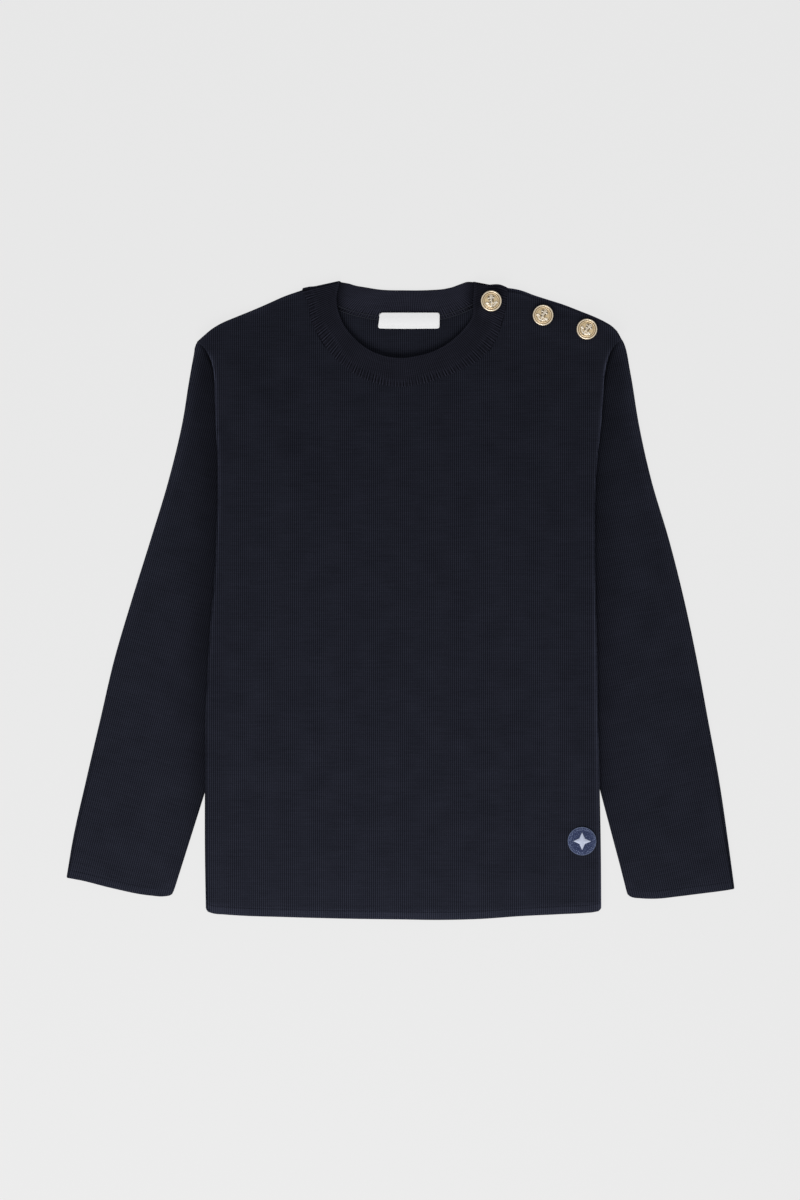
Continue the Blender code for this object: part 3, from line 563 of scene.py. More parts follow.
LEFT_SHOULDER = (
    Plan(84.8, 250.4), Plan(92.4, 249.4), Plan(98.8, 247.7), Plan(105.2, 245.2),
    Plan(118.0, 241.0), Plan(130.8, 236.9), Plan(143.6, 231.8), Plan(156.4, 226.4),
    Plan(162.8, 223.2), Plan(169.2, 219.2), Plan(173.6, 214.8), Plan(176.8, 208.8),
)
BACK_NECK = (
    Plan(-78.0, 248.9), Plan(-66.0, 241.6), Plan(-54.0, 235.6), Plan(-40.4, 230.6),
    Plan(-20.4, 226.2), Plan(2.0, 224.4), Plan(25.2, 225.2), Plan(41.2, 228.6),
    Plan(55.6, 234.2), Plan(69.2, 241.6), Plan(84.8, 250.4),
)

BACK_CREASES = (
    Crease(-118, -180, -96, 20, 8, 9.0, 0.5), Crease(-30, -210, -44, -60, -6, 8.0, 0.4),
    Crease(58, -190, 44, -20, 7, 9.0, 0.5), Crease(112, -60, 92, 110, -6, 8.0, 0.4),
    Crease(-86, 120, -40, 190, 6, 7.0, 0.5), Crease(96, 130, 52, 196, -6, 7.0, 0.5),
    Crease(-10, 40, 6, 170, 5, 8.0, 0.35),
)

# Rows up a panel: close together over the turned hem and at the top edge
BODY_LENGTH = 480.0
BODY_ROWS = np.concatenate([[0, 1.9, 3.4, 4.8, 5.6, 6.1, 6.6, 7.1, 7.8, 9.2],
                            np.arange(12, 475, 3.2), [475.8, 478.0, 480.0]]) / BODY_LENGTH

RASTER_STEP = 2.0
raster_x = np.arange(-290.0, 290.1, RASTER_STEP)
raster_y = np.arange(-270.0, 270.1, RASTER_STEP)
RASTER = np.stack(np.meshgrid(raster_x, raster_y), axis=-1)


def inside(outline):
    """Which raster points lie inside a closed outline, by counting crossed edges."""
    crossed = np.zeros(RASTER.shape[:2], bool)
    x, y = RASTER[..., 0], RASTER[..., 1]
    for first, last in zip(outline, np.roll(outline, -1, axis=0)):
        if first[1] == last[1]:
            continue
        edge_x = first[0] + (y - first[1]) / (last[1] - first[1]) * (last[0] - first[0])
        crossed ^= ((first[1] > y) != (last[1] > y)) & (x < edge_x)
    return crossed


def grow(field, reach):
    """A field with each point raised to the highest within reach of it."""
    cells = int(round(reach / RASTER_STEP))
    grown = field.copy()
    for step_x in range(-cells, cells + 1):
        for step_y in range(-cells, cells + 1):
            if step_x**2 + step_y**2 <= cells**2:
                grown = np.maximum(grown, np.roll(field, (step_y, step_x), (0, 1)))
    return grown


def soften(field, reach):
    """A field averaged twice over squares that reach so far to each side."""
    cells = int(round(reach / RASTER_STEP))
    for axis in (0, 1, 0, 1):
        field = sum(np.roll(field, step, axis) for step in range(-cells, cells + 1)) / (2 * cells + 1)
    return field


def laid_over(field, reach):
    """The smooth underside of cloth laid over a field: it never dips into it, and comes down
    beside a step within about four times the reach."""
    return soften(grow(field, 2 * reach), reach)


def height_at(field, plan):
    """A field's height at plan points, between the raster's points."""
    column = (plan[..., 0] - raster_x[0]) / RASTER_STEP
    row = (plan[..., 1] - raster_y[0]) / RASTER_STEP
    i, j = np.floor(row).astype(int), np.floor(column).astype(int)
    up, over = row - i, column - j
    return ((1 - up) * ((1 - over) * field[i, j] + over * field[i, j + 1])
            + up * ((1 - over) * field[i + 1, j] + over * field[i + 1, j + 1]))


# How far out, and how high between the faces, the rings round a rim lie. The two panels of the
# body together make one round edge.
ROUND_ABOVE = ((0.0, 1.0), (0.35, 0.97), (0.7, 0.84), (0.95, 0.6), (1.1, 0.28), (1.1, -0.14))
ROUND_BELOW = ((1.1, 0.98), (1.1, 0.7), (0.95, 0.4), (0.7, 0.16), (0.35, 0.03), (0.0, 0.0))
ROUND_BOTH = ((0.0, 1.0), (0.35, 0.95), (0.6, 0.75), (0.7, 0.5), (0.6, 0.25), (0.35, 0.05), (0.0, 0.0))


def wall(name, plan, bottom, top, rim, finish, wear_and_painted_light=None):
    """A closed wall of cloth between two heights over a plan grid, with a rounded rim: rings run
    round the edge from the upper face to the lower. wear_and_painted_light is the upper face's real
    wear, painted highlights and painted shade."""
    columns, rows = plan.shape[:2]
    edge = ([(c, 0) for c in range(columns)] + [(columns - 1, r) for r in range(1, rows)]
            + [(c, rows - 1) for c in range(columns - 2, -1, -1)]
            + [(0, r) for r in range(rows - 2, 0, -1)])
    edge_c, edge_r = np.array(edge).T
    loop = plan[edge_c, edge_r]
    along = np.roll(loop, -1, axis=0) - np.roll(loop, 1, axis=0)
    outward = np.stack([along[:, 1], -along[:, 0]], axis=-1)
    outward /= np.linalg.norm(outward, axis=1)[:, None]
    reach = max(out for out, _ in rim)
    low, high = bottom[edge_c, edge_r], top[edge_c, edge_r]
    rings = [np.column_stack([loop - outward * (reach - out), low + (high - low) * rise])
             for out, rise in rim]
    upper, lower = np.dstack([plan, top]), np.dstack([plan, bottom])
    upper[edge_c, edge_r] = rings[0]
    lower[edge_c, edge_r] = rings[-1]
    size, around = columns * rows, len(edge)
    points = np.vstack([upper.reshape(-1, 3), lower.reshape(-1, 3), *rings[1:-1]])
    on_edge = edge_c * rows + edge_r
    numbers = [on_edge, *(2 * size + k * around + np.arange(around) for k in range(len(rim) - 2)),
               size + on_edge]
    faces = [grid_faces(columns, rows), grid_faces(columns, rows, size)[:, ::-1]]
    faces += [ring_faces(below, above) for above, below in zip(numbers[:-1], numbers[1:])]
    if wear_and_painted_light is not None:
        wear_and_painted_light = np.concatenate([wear_and_painted_light.ravel(), np.zeros(size), np.tile(wear_and_painted_light[edge_c, edge_r], len(rim) - 2)])
    return piece(name, points, np.vstack(faces).tolist(), finish, points[:, :2], wear_and_painted_light)


def body_plan(neck, left_shoulder, shoulder_steps, neck_steps):
    """A panel's plan grid: its top edge runs along the right shoulder, neck and left shoulder."""
    from_tip = np.concatenate([[0, 0.022, 0.05], np.linspace(0.09, 1, shoulder_steps)])
    to_tip = 1 - from_tip[::-1]
    along_neck = np.linspace(0, 1, neck_steps + 1)
    across = np.concatenate([from_tip * SHOULDER_WIDTH,
                             SHOULDER_WIDTH + along_neck[1:] * (1 - 2 * SHOULDER_WIDTH),
                             1 - (1 - to_tip[1:]) * SHOULDER_WIDTH])
    top = np.vstack([at(through(RIGHT_SHOULDER), from_tip), at(neck, along_neck)[1:],
                     at(left_shoulder, to_tip)[1:]])
    hem = at(through(HEM), across)
    return patch(hem, top, at(right_side, BODY_ROWS), at(left_side, BODY_ROWS), across, BODY_ROWS)


right_side, left_side = through(RIGHT_SIDE), through(LEFT_SIDE)
over_sleeves = np.zeros(RASTER.shape[:2])
for outline, creases in ((right_outline, RIGHT_SLEEVE_CREASES), (left_outline, LEFT_SLEEVE_CREASES)):
    over_sleeves += inside(outline) * (SLEEVE_THICKNESS + SEAM_GAP + creased(RASTER, creases))
back_under = laid_over(over_sleeves, DRAPE / 2) + creased(RASTER, BACK_CREASES)
back_top = back_under + PANEL_WALL

back_neck = through(BACK_NECK)
back_plan = body_plan(back_neck, through(LEFT_SHOULDER), 24, 52)
back_low = height_at(back_under, back_plan)
back_groove = -turned_edge(BODY_ROWS * BODY_LENGTH, HEM_TURN).clip(-1, 0)
back = wall("back", back_plan, back_low + back_groove, back_low + PANEL_WALL, ROUND_BELOW, FINE_RIB)
belongs(back, "back_panel")


# Button stand: a narrow strip knitted on to the back's left shoulder. It lies under the front's
# shoulder edge, shows beyond it as a thin line, and carries the three buttons.

STAND_WALL = 1.4
STAND_WIDTH = 20.0
STAND_LIES_UNDER_BAND = 22.0
BAND_THICKNESS = 2.6
CARRY = 4.0
# Painted light on the thin strip of stand that shows beyond the front, which faces away from the lamp
STAND_PAINTED_LIGHT = 1.5

BACK_FOLD = (
    Plan(-48.6, 255.3), Plan(-42.0, 254.1), Plan(-35.6, 252.3), Plan(-29.2, 251.2),
    Plan(-16.4, 249.2), Plan(3.0, 248.6), Plan(23.0, 248.8), Plan(36.0, 249.9),
    Plan(41.6, 251.2), Plan(47.6, 253.4), Plan(53.4, 255.3), Plan(58.4, 255.2),
)

neck_corner = LEFT_SHOULDER[0]
stand_edge = through([Plan(neck_corner.x - STAND_LIES_UNDER_BAND, neck_corner.y + 2.4),
                      Plan(neck_corner.x - STAND_LIES_UNDER_BAND / 2, neck_corner.y + 1.4),
                      *LEFT_SHOULDER[:-1]])
stand_across = np.linspace(0, 1, 48)
stand_up = np.array([0, 0.09, 0.2, 0.35, 0.5, 0.65, 0.8, 0.91, 1])
stand_high = at(stand_edge, stand_across)
stand_low = stand_high - sideways(stand_high) * STAND_WIDTH
stand_plan = stand_low[:, None] * (1 - stand_up[:, None]) + stand_high[:, None] * stand_up[:, None]

band_back_outline = np.vstack([back_neck, through(BACK_FOLD)[::-1]])
band_back_top = np.where(inside(band_back_outline), BAND_THICKNESS, 0.0)
stand_under = laid_over(np.maximum(back_top, band_back_top), CARRY / 2) + SEAM_GAP
stand_bottom = height_at(stand_under, stand_plan)
# Painted light: the stand's upper face is painted paler all over
stand = wall("button_stand", stand_plan, stand_bottom, stand_bottom + STAND_WALL, ROUND_BOTH, FINE_RIB,
             np.full(stand_plan.shape[:2], STAND_PAINTED_LIGHT))
belongs(stand, "shoulder_stand")

stand_outline = np.vstack([stand_low, stand_high[::-1]])
stand_top = np.where(inside(stand_outline), stand_under + STAND_WALL, 0.0)


# Front: one knitted panel with a deep round neck, over the back. Its hem is turned up like the
# back's, and its left shoulder edge lies over the button stand.

STAND_SHOWS_AT_NECK = 3.0
STAND_SHOWS_AT_TIP = 0.9

FRONT_NECK = (
    Plan(-78.0, 248.9), Plan(-73.4, 239.6), Plan(-70.8, 225.2), Plan(-63.6, 210.8),
    Plan(-50.0, 193.2), Plan(-31.6, 179.6), Plan(-10.0, 172.8), Plan(2.8, 172.3),
    Plan(15.6, 174.0), Plan(31.6, 179.0), Plan(47.6, 185.4), Plan(61.6, 192.8),
    Plan(70.4, 201.2), Plan(77.2, 213.2), Plan(82.4, 230.0), Plan(84.6, 247.2),
)

# Soft standing waves down the body, pulls from the neckband's corners and the armholes, and the
# low swell over each sleeve's underarm fold
FRONT_CREASES = (
    Crease(-122, -196, -108, -40, 7, 9.0, 0.55), Crease(-70, -150, -84, 60, -8, 12.0, 0.45),
    Crease(-22, -230, -10, -90, 5, 8.0, 0.35), Crease(34, -120, 22, 80, 9, 11.0, 0.45),
    Crease(76, -214, 92, -96, -5, 8.0, 0.5), Crease(118, -128, 100, 70, -8, 9.0, 0.6),
    Crease(132, -20, 118, 120, 5, 7.0, 0.45), Crease(-132, 60, -112, 168, -5, 7.0, 0.5),
    Crease(-140, 186, -92, 128, 6, 6.0, 0.55), Crease(150, 178, 104, 124, -6, 6.0, 0.5),
    Crease(-66, 200, -104, 150, 5, 6.5, 0.4), Crease(72, 192, 104, 150, -5, 6.5, 0.4),
    Crease(-46, 150, 8, 134, -5, 7.0, 0.3), Crease(126, -180, 140, -232, 3, 5.0, 0.35),
    Crease(-148, 203, -137, 180, 2, 2.4, 0.4), Crease(171, 206, 158, 196, -1, 2.0, 0.5),
)


# How much paler or darker the cloth's colour is, as shares of the dye: painted highlights on folds
# and edges, painted light low on the front, painted shade and a painted shadow line on the sleeves
# beside the body, and real wear on the turned hem and cuffs.
# Beside each stands how far it reaches, and where it runs where that isn't the whole edge.
# Painted highlight, with some real rubbing, down the front's folded sides
EDGE_WEAR_AND_HIGHLIGHT, EDGE_REACH = 1.4, 2.2
EDGE_WEAR_AND_HIGHLIGHT_ENDS = (200, 186)
EDGE_WEAR_AND_HIGHLIGHT_GROWS, ARMHOLE_EDGE_MORE = (90, 140), 0.5
RIGHT_EDGE_FADES, RIGHT_EDGE_LEAST = (10, 70), 0.3
# Painted highlight along the shoulder edges
SHOULDER_HIGHLIGHT, SHOULDER_REACH = 0.40, 3.0
SHOULDER_FROM_MIDDLE = 84
HEM_WEAR = 0.42
# Painted light: the lower front is painted paler towards the hem
LOWER_PAINTED_LIGHT, LOWER_RISES = 0.06, (-195, -235)
CUFF_WEAR = 0.18
# Painted shadow line on the sleeve under the body's edge near the shoulder tip
TIP_SHADOW_LINE, TIP_SHADOW_REACH, TIP_SHADOW_STARTS = 0.6, 1.6, (165, 183)
# Painted highlight along each sleeve's outer fold
OUTER_FOLD_HIGHLIGHT, OUTER_FOLD_LEAST, OUTER_FOLD_REACH = 0.50, 0.06, 5.5
# Painted highlight on the sleeve cap below the shoulder tip
TIP_HIGHLIGHT, TIP_REACH = 0.80, 7.5
# From the sleeve's lower end to the underarm
SLEEVE_HEIGHT = (-190, 110)


def turned(distance, turn):
    """1 on a turned-up edge, and 0 from just past its stitches."""
    return ramp(distance, turn + 2, turn - 0.5)


def front_button_edge():
    """The front's left shoulder edge: the shoulder line moved in by what shows of the stand."""
    line = at(through(LEFT_SHOULDER), np.linspace(0, 1, 60))
    shows = np.linspace(STAND_SHOWS_AT_NECK, STAND_SHOWS_AT_TIP, len(line))
    edge = line - sideways(line) * shows[:, None]
    edge[0], edge[-1] = FRONT_NECK[-1], LEFT_SHOULDER[-1]
    return edge


front_neck = through(FRONT_NECK)
front_plan = body_plan(front_neck, front_button_edge(), 27, 74)
front_under = laid_over(np.maximum(back_top, stand_top), CARRY) + SEAM_GAP
front_low = height_at(front_under, front_plan)
from_hem = np.linalg.norm(front_plan - front_plan[:, :1], axis=-1)
front_rise = creased(front_plan, FRONT_CREASES) + turned_edge(from_hem, HEM_TURN)
# The folded sides carry a thin painted highlight, with some real rubbing, and the doubled hem is a little
# paler
from_side = np.minimum(np.linalg.norm(front_plan - front_plan[:1], axis=-1),
                       np.linalg.norm(front_plan - front_plan[-1:], axis=-1))
up_side = front_plan[:1, :, 1]
edge_rubbing_and_highlight = ramp(up_side, *EDGE_WEAR_AND_HIGHLIGHT_ENDS) * (1 + ARMHOLE_EDGE_MORE * ramp(up_side, *EDGE_WEAR_AND_HIGHLIGHT_GROWS))
on_right = RIGHT_EDGE_LEAST + (1 - RIGHT_EDGE_LEAST) * ramp(up_side, *RIGHT_EDGE_FADES)
edge_rubbing_and_highlight = edge_rubbing_and_highlight * np.where(front_plan[..., 0] < 0, on_right, 1)
front_wear_and_painted_light = EDGE_WEAR_AND_HIGHLIGHT * bell(from_side, EDGE_REACH) * edge_rubbing_and_highlight
front_wear_and_painted_light += HEM_WEAR * turned(from_hem, HEM_TURN)
# Painted light: the lower front is painted a little paler towards the hem
front_wear_and_painted_light += LOWER_PAINTED_LIGHT * ramp(front_plan[..., 1], *LOWER_RISES)
# Painted highlight in a thin line along both shoulder edges
from_shoulder = np.linalg.norm(front_plan - front_plan[:, -1:], axis=-1)
on_shoulder = np.abs(front_plan[..., 0]) > SHOULDER_FROM_MIDDLE
front_wear_and_painted_light += SHOULDER_HIGHLIGHT * bell(from_shoulder, SHOULDER_REACH) * on_shoulder
front = wall("front", front_plan, front_low, front_low + PANEL_WALL + front_rise, ROUND_ABOVE, FINE_RIB,
             front_wear_and_painted_light)
belongs(front, "front_panel")

front_top = front_under + PANEL_WALL + creased(RASTER, FRONT_CREASES)


def paint_sleeve_light_and_wear(made, side, outer, cuff, depth, reach):
    """Paints a sleeve's light and shade, and its wear: painted shade beside the body's edge, a painted
    shadow line under that edge near the shoulder tip, painted highlights along the outer fold and
    below the shoulder tip, and real wear, paler, on the turned cuff. Each is a bell or a ramp over a
    distance. depth and reach give the painted shade's bell beside the body at the cuff, and how much
    more it is at the underarm."""
    points = np.empty(len(made.data.vertices) * 3)
    made.data.vertices.foreach_get("co", points)
    points = points.reshape(-1, 3) / MM
    plan, up = points[:, :2], points[:, 2] > SLEEVE_THICKNESS / 2
    from_body, from_outer, from_cuff = (
        np.min([np.linalg.norm(plan - place, axis=1) for place in at(curve, np.linspace(0, 1, steps))],
               axis=0)
        for curve, steps in ((side, 160), (through(outer), 160), (through(cuff), 40)))
    high = ramp(points[:, 1], *SLEEVE_HEIGHT)
    # Painted shade beside the body's edge
    wear_and_painted_light = -(depth[0] + depth[1] * high) * bell(from_body, reach[0] + reach[1] * high)
    # Painted shadow line under the body's edge near the shoulder tip
    wear_and_painted_light -= TIP_SHADOW_LINE * bell(from_body, TIP_SHADOW_REACH) * ramp(points[:, 1], *TIP_SHADOW_STARTS)
    # Painted highlight along the outer fold
    wear_and_painted_light += (OUTER_FOLD_LEAST + OUTER_FOLD_HIGHLIGHT * high**2) * bell(from_outer, OUTER_FOLD_REACH)
    # Painted highlight below the shoulder tip
    wear_and_painted_light += TIP_HIGHLIGHT * bell(np.linalg.norm(plan - side[-1], axis=1), TIP_REACH)
    wear_and_painted_light += CUFF_WEAR * turned(from_cuff, CUFF_TURN)
    carry(made.data, "wear_and_painted_light", np.where(up, wear_and_painted_light, 0.0))


# Painted shade beside the body on each sleeve
paint_sleeve_light_and_wear(right_sleeve, right_side, RIGHT_SLEEVE_OUTER, RIGHT_CUFF, depth=(0.44, 0.02), reach=(13, 8))
paint_sleeve_light_and_wear(left_sleeve, left_side, LEFT_SLEEVE_OUTER, LEFT_CUFF, depth=(0.24, 0.08), reach=(12, 6))


# Neckband: one strip of rib, doubled over so that its fold is the neck's edge, and linked to the
# panels along its open edges. It runs from its buttonhole end in front, round the right
# shoulder, along the back neck, and ends under the front end. The rib stands up in short teeth
# beside the seam and is pressed flat towards the fold.

BAND_RISE = 2.4
BAND_TURN_INSET = 1.2
BAND_STATION = 0.43
BAND_TURN_STATIONS = 26
SEAM_OVERLAP = 1.6
TOOTH = 2.6
TOOTH_HEIGHT = 0.32
SEAM_SINK = 0.6
TOOTH_LENGTH = 6.6
PRESSED = 0.35
END_BOW, END_BOW_REACH = 1.5, 9.0
# The share of its turn's bulge that the folded edge keeps at the right shoulder
FOLD_BULGE = 0.45

FRONT_FOLD = (
    Plan(-48.6, 255.3), Plan(-51.2, 242.0), Plan(-50.0, 232.4), Plan(-45.2, 220.4),
    Plan(-38.0, 211.2), Plan(-28.6, 202.8), Plan(-10.0, 195.2), Plan(0.4, 194.2),
    Plan(18.8, 197.0), Plan(34.3, 203.4), Plan(44.4, 211.0), Plan(51.6, 218.4),
    Plan(57.2, 227.0), Plan(58.2, 240.0), Plan(59.0, 252.6),
)
FRONT_BAND_END = (Plan(86.0, 249.8), Plan(58.4, 255.2))
# How the colour differs along the band, as shares of it: painted shade and painted highlights on the teeth,
# darker in front and beside the back seam, painted light on the back, a painted highlight on the fold,
# painted shade at the buttonhole end and a painted shadow in the corners

# How the dye differs along the band, as shares of it
TOOTH_SHADE_AND_HIGHLIGHT = 0.62
MIDDLE_TEETH_SHADE_MORE = 0.65
# The front of the band is darker
FRONT_BAND_DARKER = 0.16
CORNER_PAINTED_SHADOW, CORNER_REACH = 0.75, 6.0
BACK_SEAM_DARKER, BACK_SEAM_REACH = 0.5, 2.6
BACK_BAND_PAINTED_LIGHT = 0.46
FOLD_HIGHLIGHT, FOLD_STARTS = 0.35, (0.93, 0.98)
END_PAINTED_SHADE, END_FADES, END_STARTS = 0.34, (44, 22), (0.68, 0.88)

# Shares of the way from the seam to the fold, for heights
BAND_SHARES = np.linspace(0, 1, 9)
HALF_BAND = BAND_THICKNESS / 2


def band_section():
    """The strip's section, from the seam edge over the upper side, round the fold and back under:
    shares of the width, lengths to add, and heights as shares of half the thickness."""
    edge = np.radians([0, 30, 60, 90])
    seam_side = [(0.0, 1.1 * (1 - math.cos(a)), math.sin(a)) for a in edge]
    upper = [(share, 0.0, 1.0) for share in np.linspace(0.08, 0.9, 15)]
    fold = [(1.0, -1.3 * (1 - math.cos(a)), math.sin(a)) for a in np.radians([75, 60, 45, 30, 15, 0])]
    above = seam_side + upper + fold
    below = [(share, length, -height) for share, length, height in above[-2:0:-1]]
    return np.array(above + below).T


def band_lines(neck, fold):
    """The seam edge and the folded edge at the same fractions, a little inside the shoulder."""
    fractions = np.linspace(0, 1, int(run_along(neck)[-1] / BAND_STATION) + 1)
    seam, folded = at(neck, fractions), at(through(fold), fractions)
    seam -= sideways(seam) * (SEAM_OVERLAP - SEAM_GAP)
    for line in (seam, folded):
        step = line[40] - line[0]
        start = line[0] + step * BAND_TURN_INSET / np.linalg.norm(step)
        fade = np.linspace(1, 0, 41)[:, None]
        line[:41] += (start - line[0]) * fade
    return seam, folded


front_seam, front_folded = band_lines(front_neck, FRONT_FOLD)
end_steps = np.linspace(0, 1, 9)[1:, None]
front_seam, front_folded = (
    np.vstack([line, line[-1] * (1 - end_steps) + np.array(end) * end_steps])
    for line, end in zip((front_seam, front_folded), FRONT_BAND_END))
back_seam, back_folded = band_lines(back_neck, BACK_FOLD)

band_under = np.maximum(np.maximum(back_top, stand_top), band_back_top)
band_under = laid_over(band_under, CARRY / 2) + SEAM_GAP
shares = BAND_SHARES[:, None]
front_grid = front_seam[:, None] * (1 - shares) + front_folded[:, None] * shares
# Its fold stands off the cloth and its seam sinks into it, except at the two shoulders
from_ends = np.sin(math.pi * np.linspace(0, 1, len(front_seam)))[:, None]
front_middle = height_at(band_under, front_grid) + HALF_BAND + BAND_RISE * from_ends**0.7 * BAND_SHARES**1.5
front_middle -= SEAM_SINK * from_ends**0.3 * (1 - BAND_SHARES)**4

turn = np.linspace(0, math.pi, BAND_TURN_STATIONS + 2)[1:-1]
share = (turn / math.pi)[:, None]
turn_seam = front_seam[0] * (1 - share) + back_seam[0] * share
turn_folded = front_folded[0] * (1 - share) + back_folded[0] * share
turn_across = turn_folded - turn_seam
turn_across /= np.linalg.norm(turn_across, axis=1)[:, None]
turn_radius = (front_middle[0].mean() - HALF_BAND) / 2
bulge = np.column_stack([-turn_across[:, 1], turn_across[:, 0]]) * turn_radius * np.sin(turn)[:, None]
turn_middle = HALF_BAND + (front_middle[0] - HALF_BAND) * (1 + np.cos(turn))[:, None] / 2

band_seam = np.vstack([front_seam[::-1], turn_seam + bulge, back_seam])
band_folded = np.vstack([front_folded[::-1], turn_folded + bulge * FOLD_BULGE, back_folded])
back_middle = np.full((len(back_seam), len(BAND_SHARES)), HALF_BAND)
band_middle = np.vstack([front_middle[::-1], turn_middle, back_middle])
band_lean = np.concatenate([np.zeros(len(front_seam)), turn, np.full(len(back_seam), math.pi)])

band_width = np.linalg.norm(band_folded - band_seam, axis=1)
band_across = (band_folded - band_seam) / band_width[:, None]
band_out = np.column_stack([-band_across[:, 1], band_across[:, 0]])
section_share, section_length, section_height = band_section()
band_reach = section_share * band_width[:, None] + section_length
band_run = run_along((band_seam * 2 + band_folded) / 3)
# Teeth: a rounded ridge every TOOTH of the seam's own length, that fades away from the seam
tooth_turn = run_along(band_seam) * math.tau / TOOTH
tooth_length = TOOTH_LENGTH + 1.6 * np.sin(band_run / 23.0) + 1.2 * np.sin(band_run / 7.1)
past_tooth = band_reach - tooth_length[:, None]
fade = ramp(past_tooth, 2.5, -1)
buttoned = 0.4 + 0.6 * ramp(band_run, 0, 70)[:, None]
tooth = np.cos(tooth_turn)[:, None] * fade**2 * (3 - 2 * fade) * TOOTH_HEIGHT * buttoned
pressed = PRESSED * ramp(past_tooth, 0, 4)
side_of = np.sign(section_height) * ramp(np.abs(section_height), 0.25, 0.875)
tilt = HALF_BAND * section_height + (tooth - pressed) * side_of
middle = np.stack([np.interp(reach / width, BAND_SHARES, heights)
                   for reach, width, heights in zip(band_reach, band_width, band_middle)])
band_points = np.dstack([
    band_seam[:, None] + band_across[:, None] * band_reach[..., None]
    + band_out[:, None] * (tilt * np.sin(band_lean)[:, None])[..., None],
    middle + tilt * np.cos(band_lean)[:, None]])
# The buttonhole end is bowed outwards beside the seam and inwards beside the fold
near_end = ramp(band_run, END_BOW_REACH, 0)
across_share = ramp(band_reach, 0, band_width[:, None])
band_points[..., 1] += END_BOW * near_end[:, None] * np.sin(math.tau * across_share)
band_points[..., 2] = np.maximum(band_points[..., 2], 0.0)
# Painted shade between the teeth and painted highlights on them, the front darker than the back,
# painted light on the back, and a painted highlight along the fold
facing_up = section_height * np.cos(band_lean)[:, None] > 0
hollow = (1 - np.cos(tooth_turn)[:, None]) / 2 * fade
in_front = (np.cos(band_lean) + 1)[:, None] / 2
uneven = 1 + 0.4 * np.sin(band_run / 9.7) * np.sin(band_run / 4.3 + 1)
tooth_depth = TOOTH_SHADE_AND_HIGHLIGHT * uneven[:, None] * buttoned
tooth_depth *= 1 + MIDDLE_TEETH_SHADE_MORE * in_front * np.abs(band_across[:, 1:])
past_buttons = np.clip(band_run / 60, 0.2, 1)[:, None]
band_tone_and_painted_light = tooth_depth * (0.54 - hollow) * fade - FRONT_BAND_DARKER * in_front * past_buttons
# Painted light on the back of the band
band_tone_and_painted_light += BACK_BAND_PAINTED_LIGHT * (1 - in_front)
# Painted highlight along the fold
band_tone_and_painted_light += FOLD_HIGHLIGHT * ramp(across_share, *FOLD_STARTS)
# Painted shade at the buttonhole end, beside the fold
band_tone_and_painted_light -= END_PAINTED_SHADE * ramp(band_run, *END_FADES)[:, None] * ramp(across_share, *END_STARTS)
# Painted shadow: the back of the band is painted dark in the two corners, where the front's fold lies over
# it
fold_line = band_folded[:len(front_seam)]
from_fold = np.linalg.norm(band_points[:, :, None, :2] - fold_line[::3], axis=-1).min(axis=2)
# The back of the band is darker beside its seam
band_tone_and_painted_light -= BACK_SEAM_DARKER * (1 - in_front) * bell(band_reach, BACK_SEAM_REACH)
band_tone_and_painted_light -= CORNER_PAINTED_SHADOW * (1 - in_front) * bell(from_fold, CORNER_REACH)
band_tone_and_painted_light = np.where(facing_up | (across_share > 0.9), band_tone_and_painted_light, 0.0)
stations, around = band_points.shape[:2]
band_faces = capped(np.arange(stations * around).reshape(stations, around))
end_points = np.vstack([band_points[0].mean(axis=0), band_points[-1].mean(axis=0)])
band_flat = np.column_stack([np.repeat(band_run, around), band_reach.ravel()])
band_flat = np.vstack([band_flat, [(0, 0), (0, 0)]])
# Its second colour, like the fine rib's, is the furrows' painted shade
PRESSED_RIB = knit("navy cotton doubled rib", "#24252F", "#0B0B12", WALE, COURSE, 0.25)
band = piece("neckband_rib", np.vstack([band_points.reshape(-1, 3), end_points]), band_faces, PRESSED_RIB,
             band_flat, np.concatenate([band_tone_and_painted_light.ravel(), [0, 0]]))
belongs(band, "neckband")


# Back neck stitches: the band is linked to the back by two rows of chain stitch, which show on
# the inside at both sides of the label. Each stitch is a small loop of the same yarn.

LINK = 1.75
LINK_RADIUS = 0.42
LINK_ROWS = (1.8, -1.1)
LINKS_END = (-62, 66)
LINK_RISE = 0.25
LINK_LIES_OVER = 2.0
RINGS_PER_BEAD = 6
LABEL_SIZE = (49.5, 12.6)
LABEL_MIDDLE = Plan(6.6, 224.2)


def beaded(name, line, bead, radius, finish, swell=0.5, sides=8, closed=False):
    """A yarn of stitches along a line: a round tube that swells over each stitch and narrows
    between them."""
    length = run_along(line)
    count = int(length[-1] / bead) * RINGS_PER_BEAD
    places = np.linspace(0, length[-1], count, endpoint=not closed)
    path = np.stack([np.interp(places, length, line[:, axis]) for axis in range(3)], axis=-1)
    along = (np.roll(path, -1, axis=0) - np.roll(path, 1, axis=0)) if closed else np.gradient(path, axis=0)
    along /= np.linalg.norm(along, axis=1)[:, None]
    side = np.cross(along, (0.0, 0.0, 1.0))
    side /= np.linalg.norm(side, axis=1)[:, None]
    up = np.cross(side, along)
    size = radius * (1 + swell * (np.abs(np.sin(math.pi * places / bead)) - 0.6))
    angle = np.arange(sides) * math.tau / sides
    points = (path[:, None] + side[:, None] * (size[:, None] * np.cos(angle))[..., None]
              + up[:, None] * (size[:, None] * np.sin(angle))[..., None])
    numbers = np.arange(count * sides).reshape(count, sides)
    faces = skin(numbers, closed)
    if not closed:
        faces += [numbers[0][::-1].tolist(), numbers[-1].tolist()]
    return piece(name, points.reshape(-1, 3), faces, finish, points.reshape(-1, 3)[:, :2])


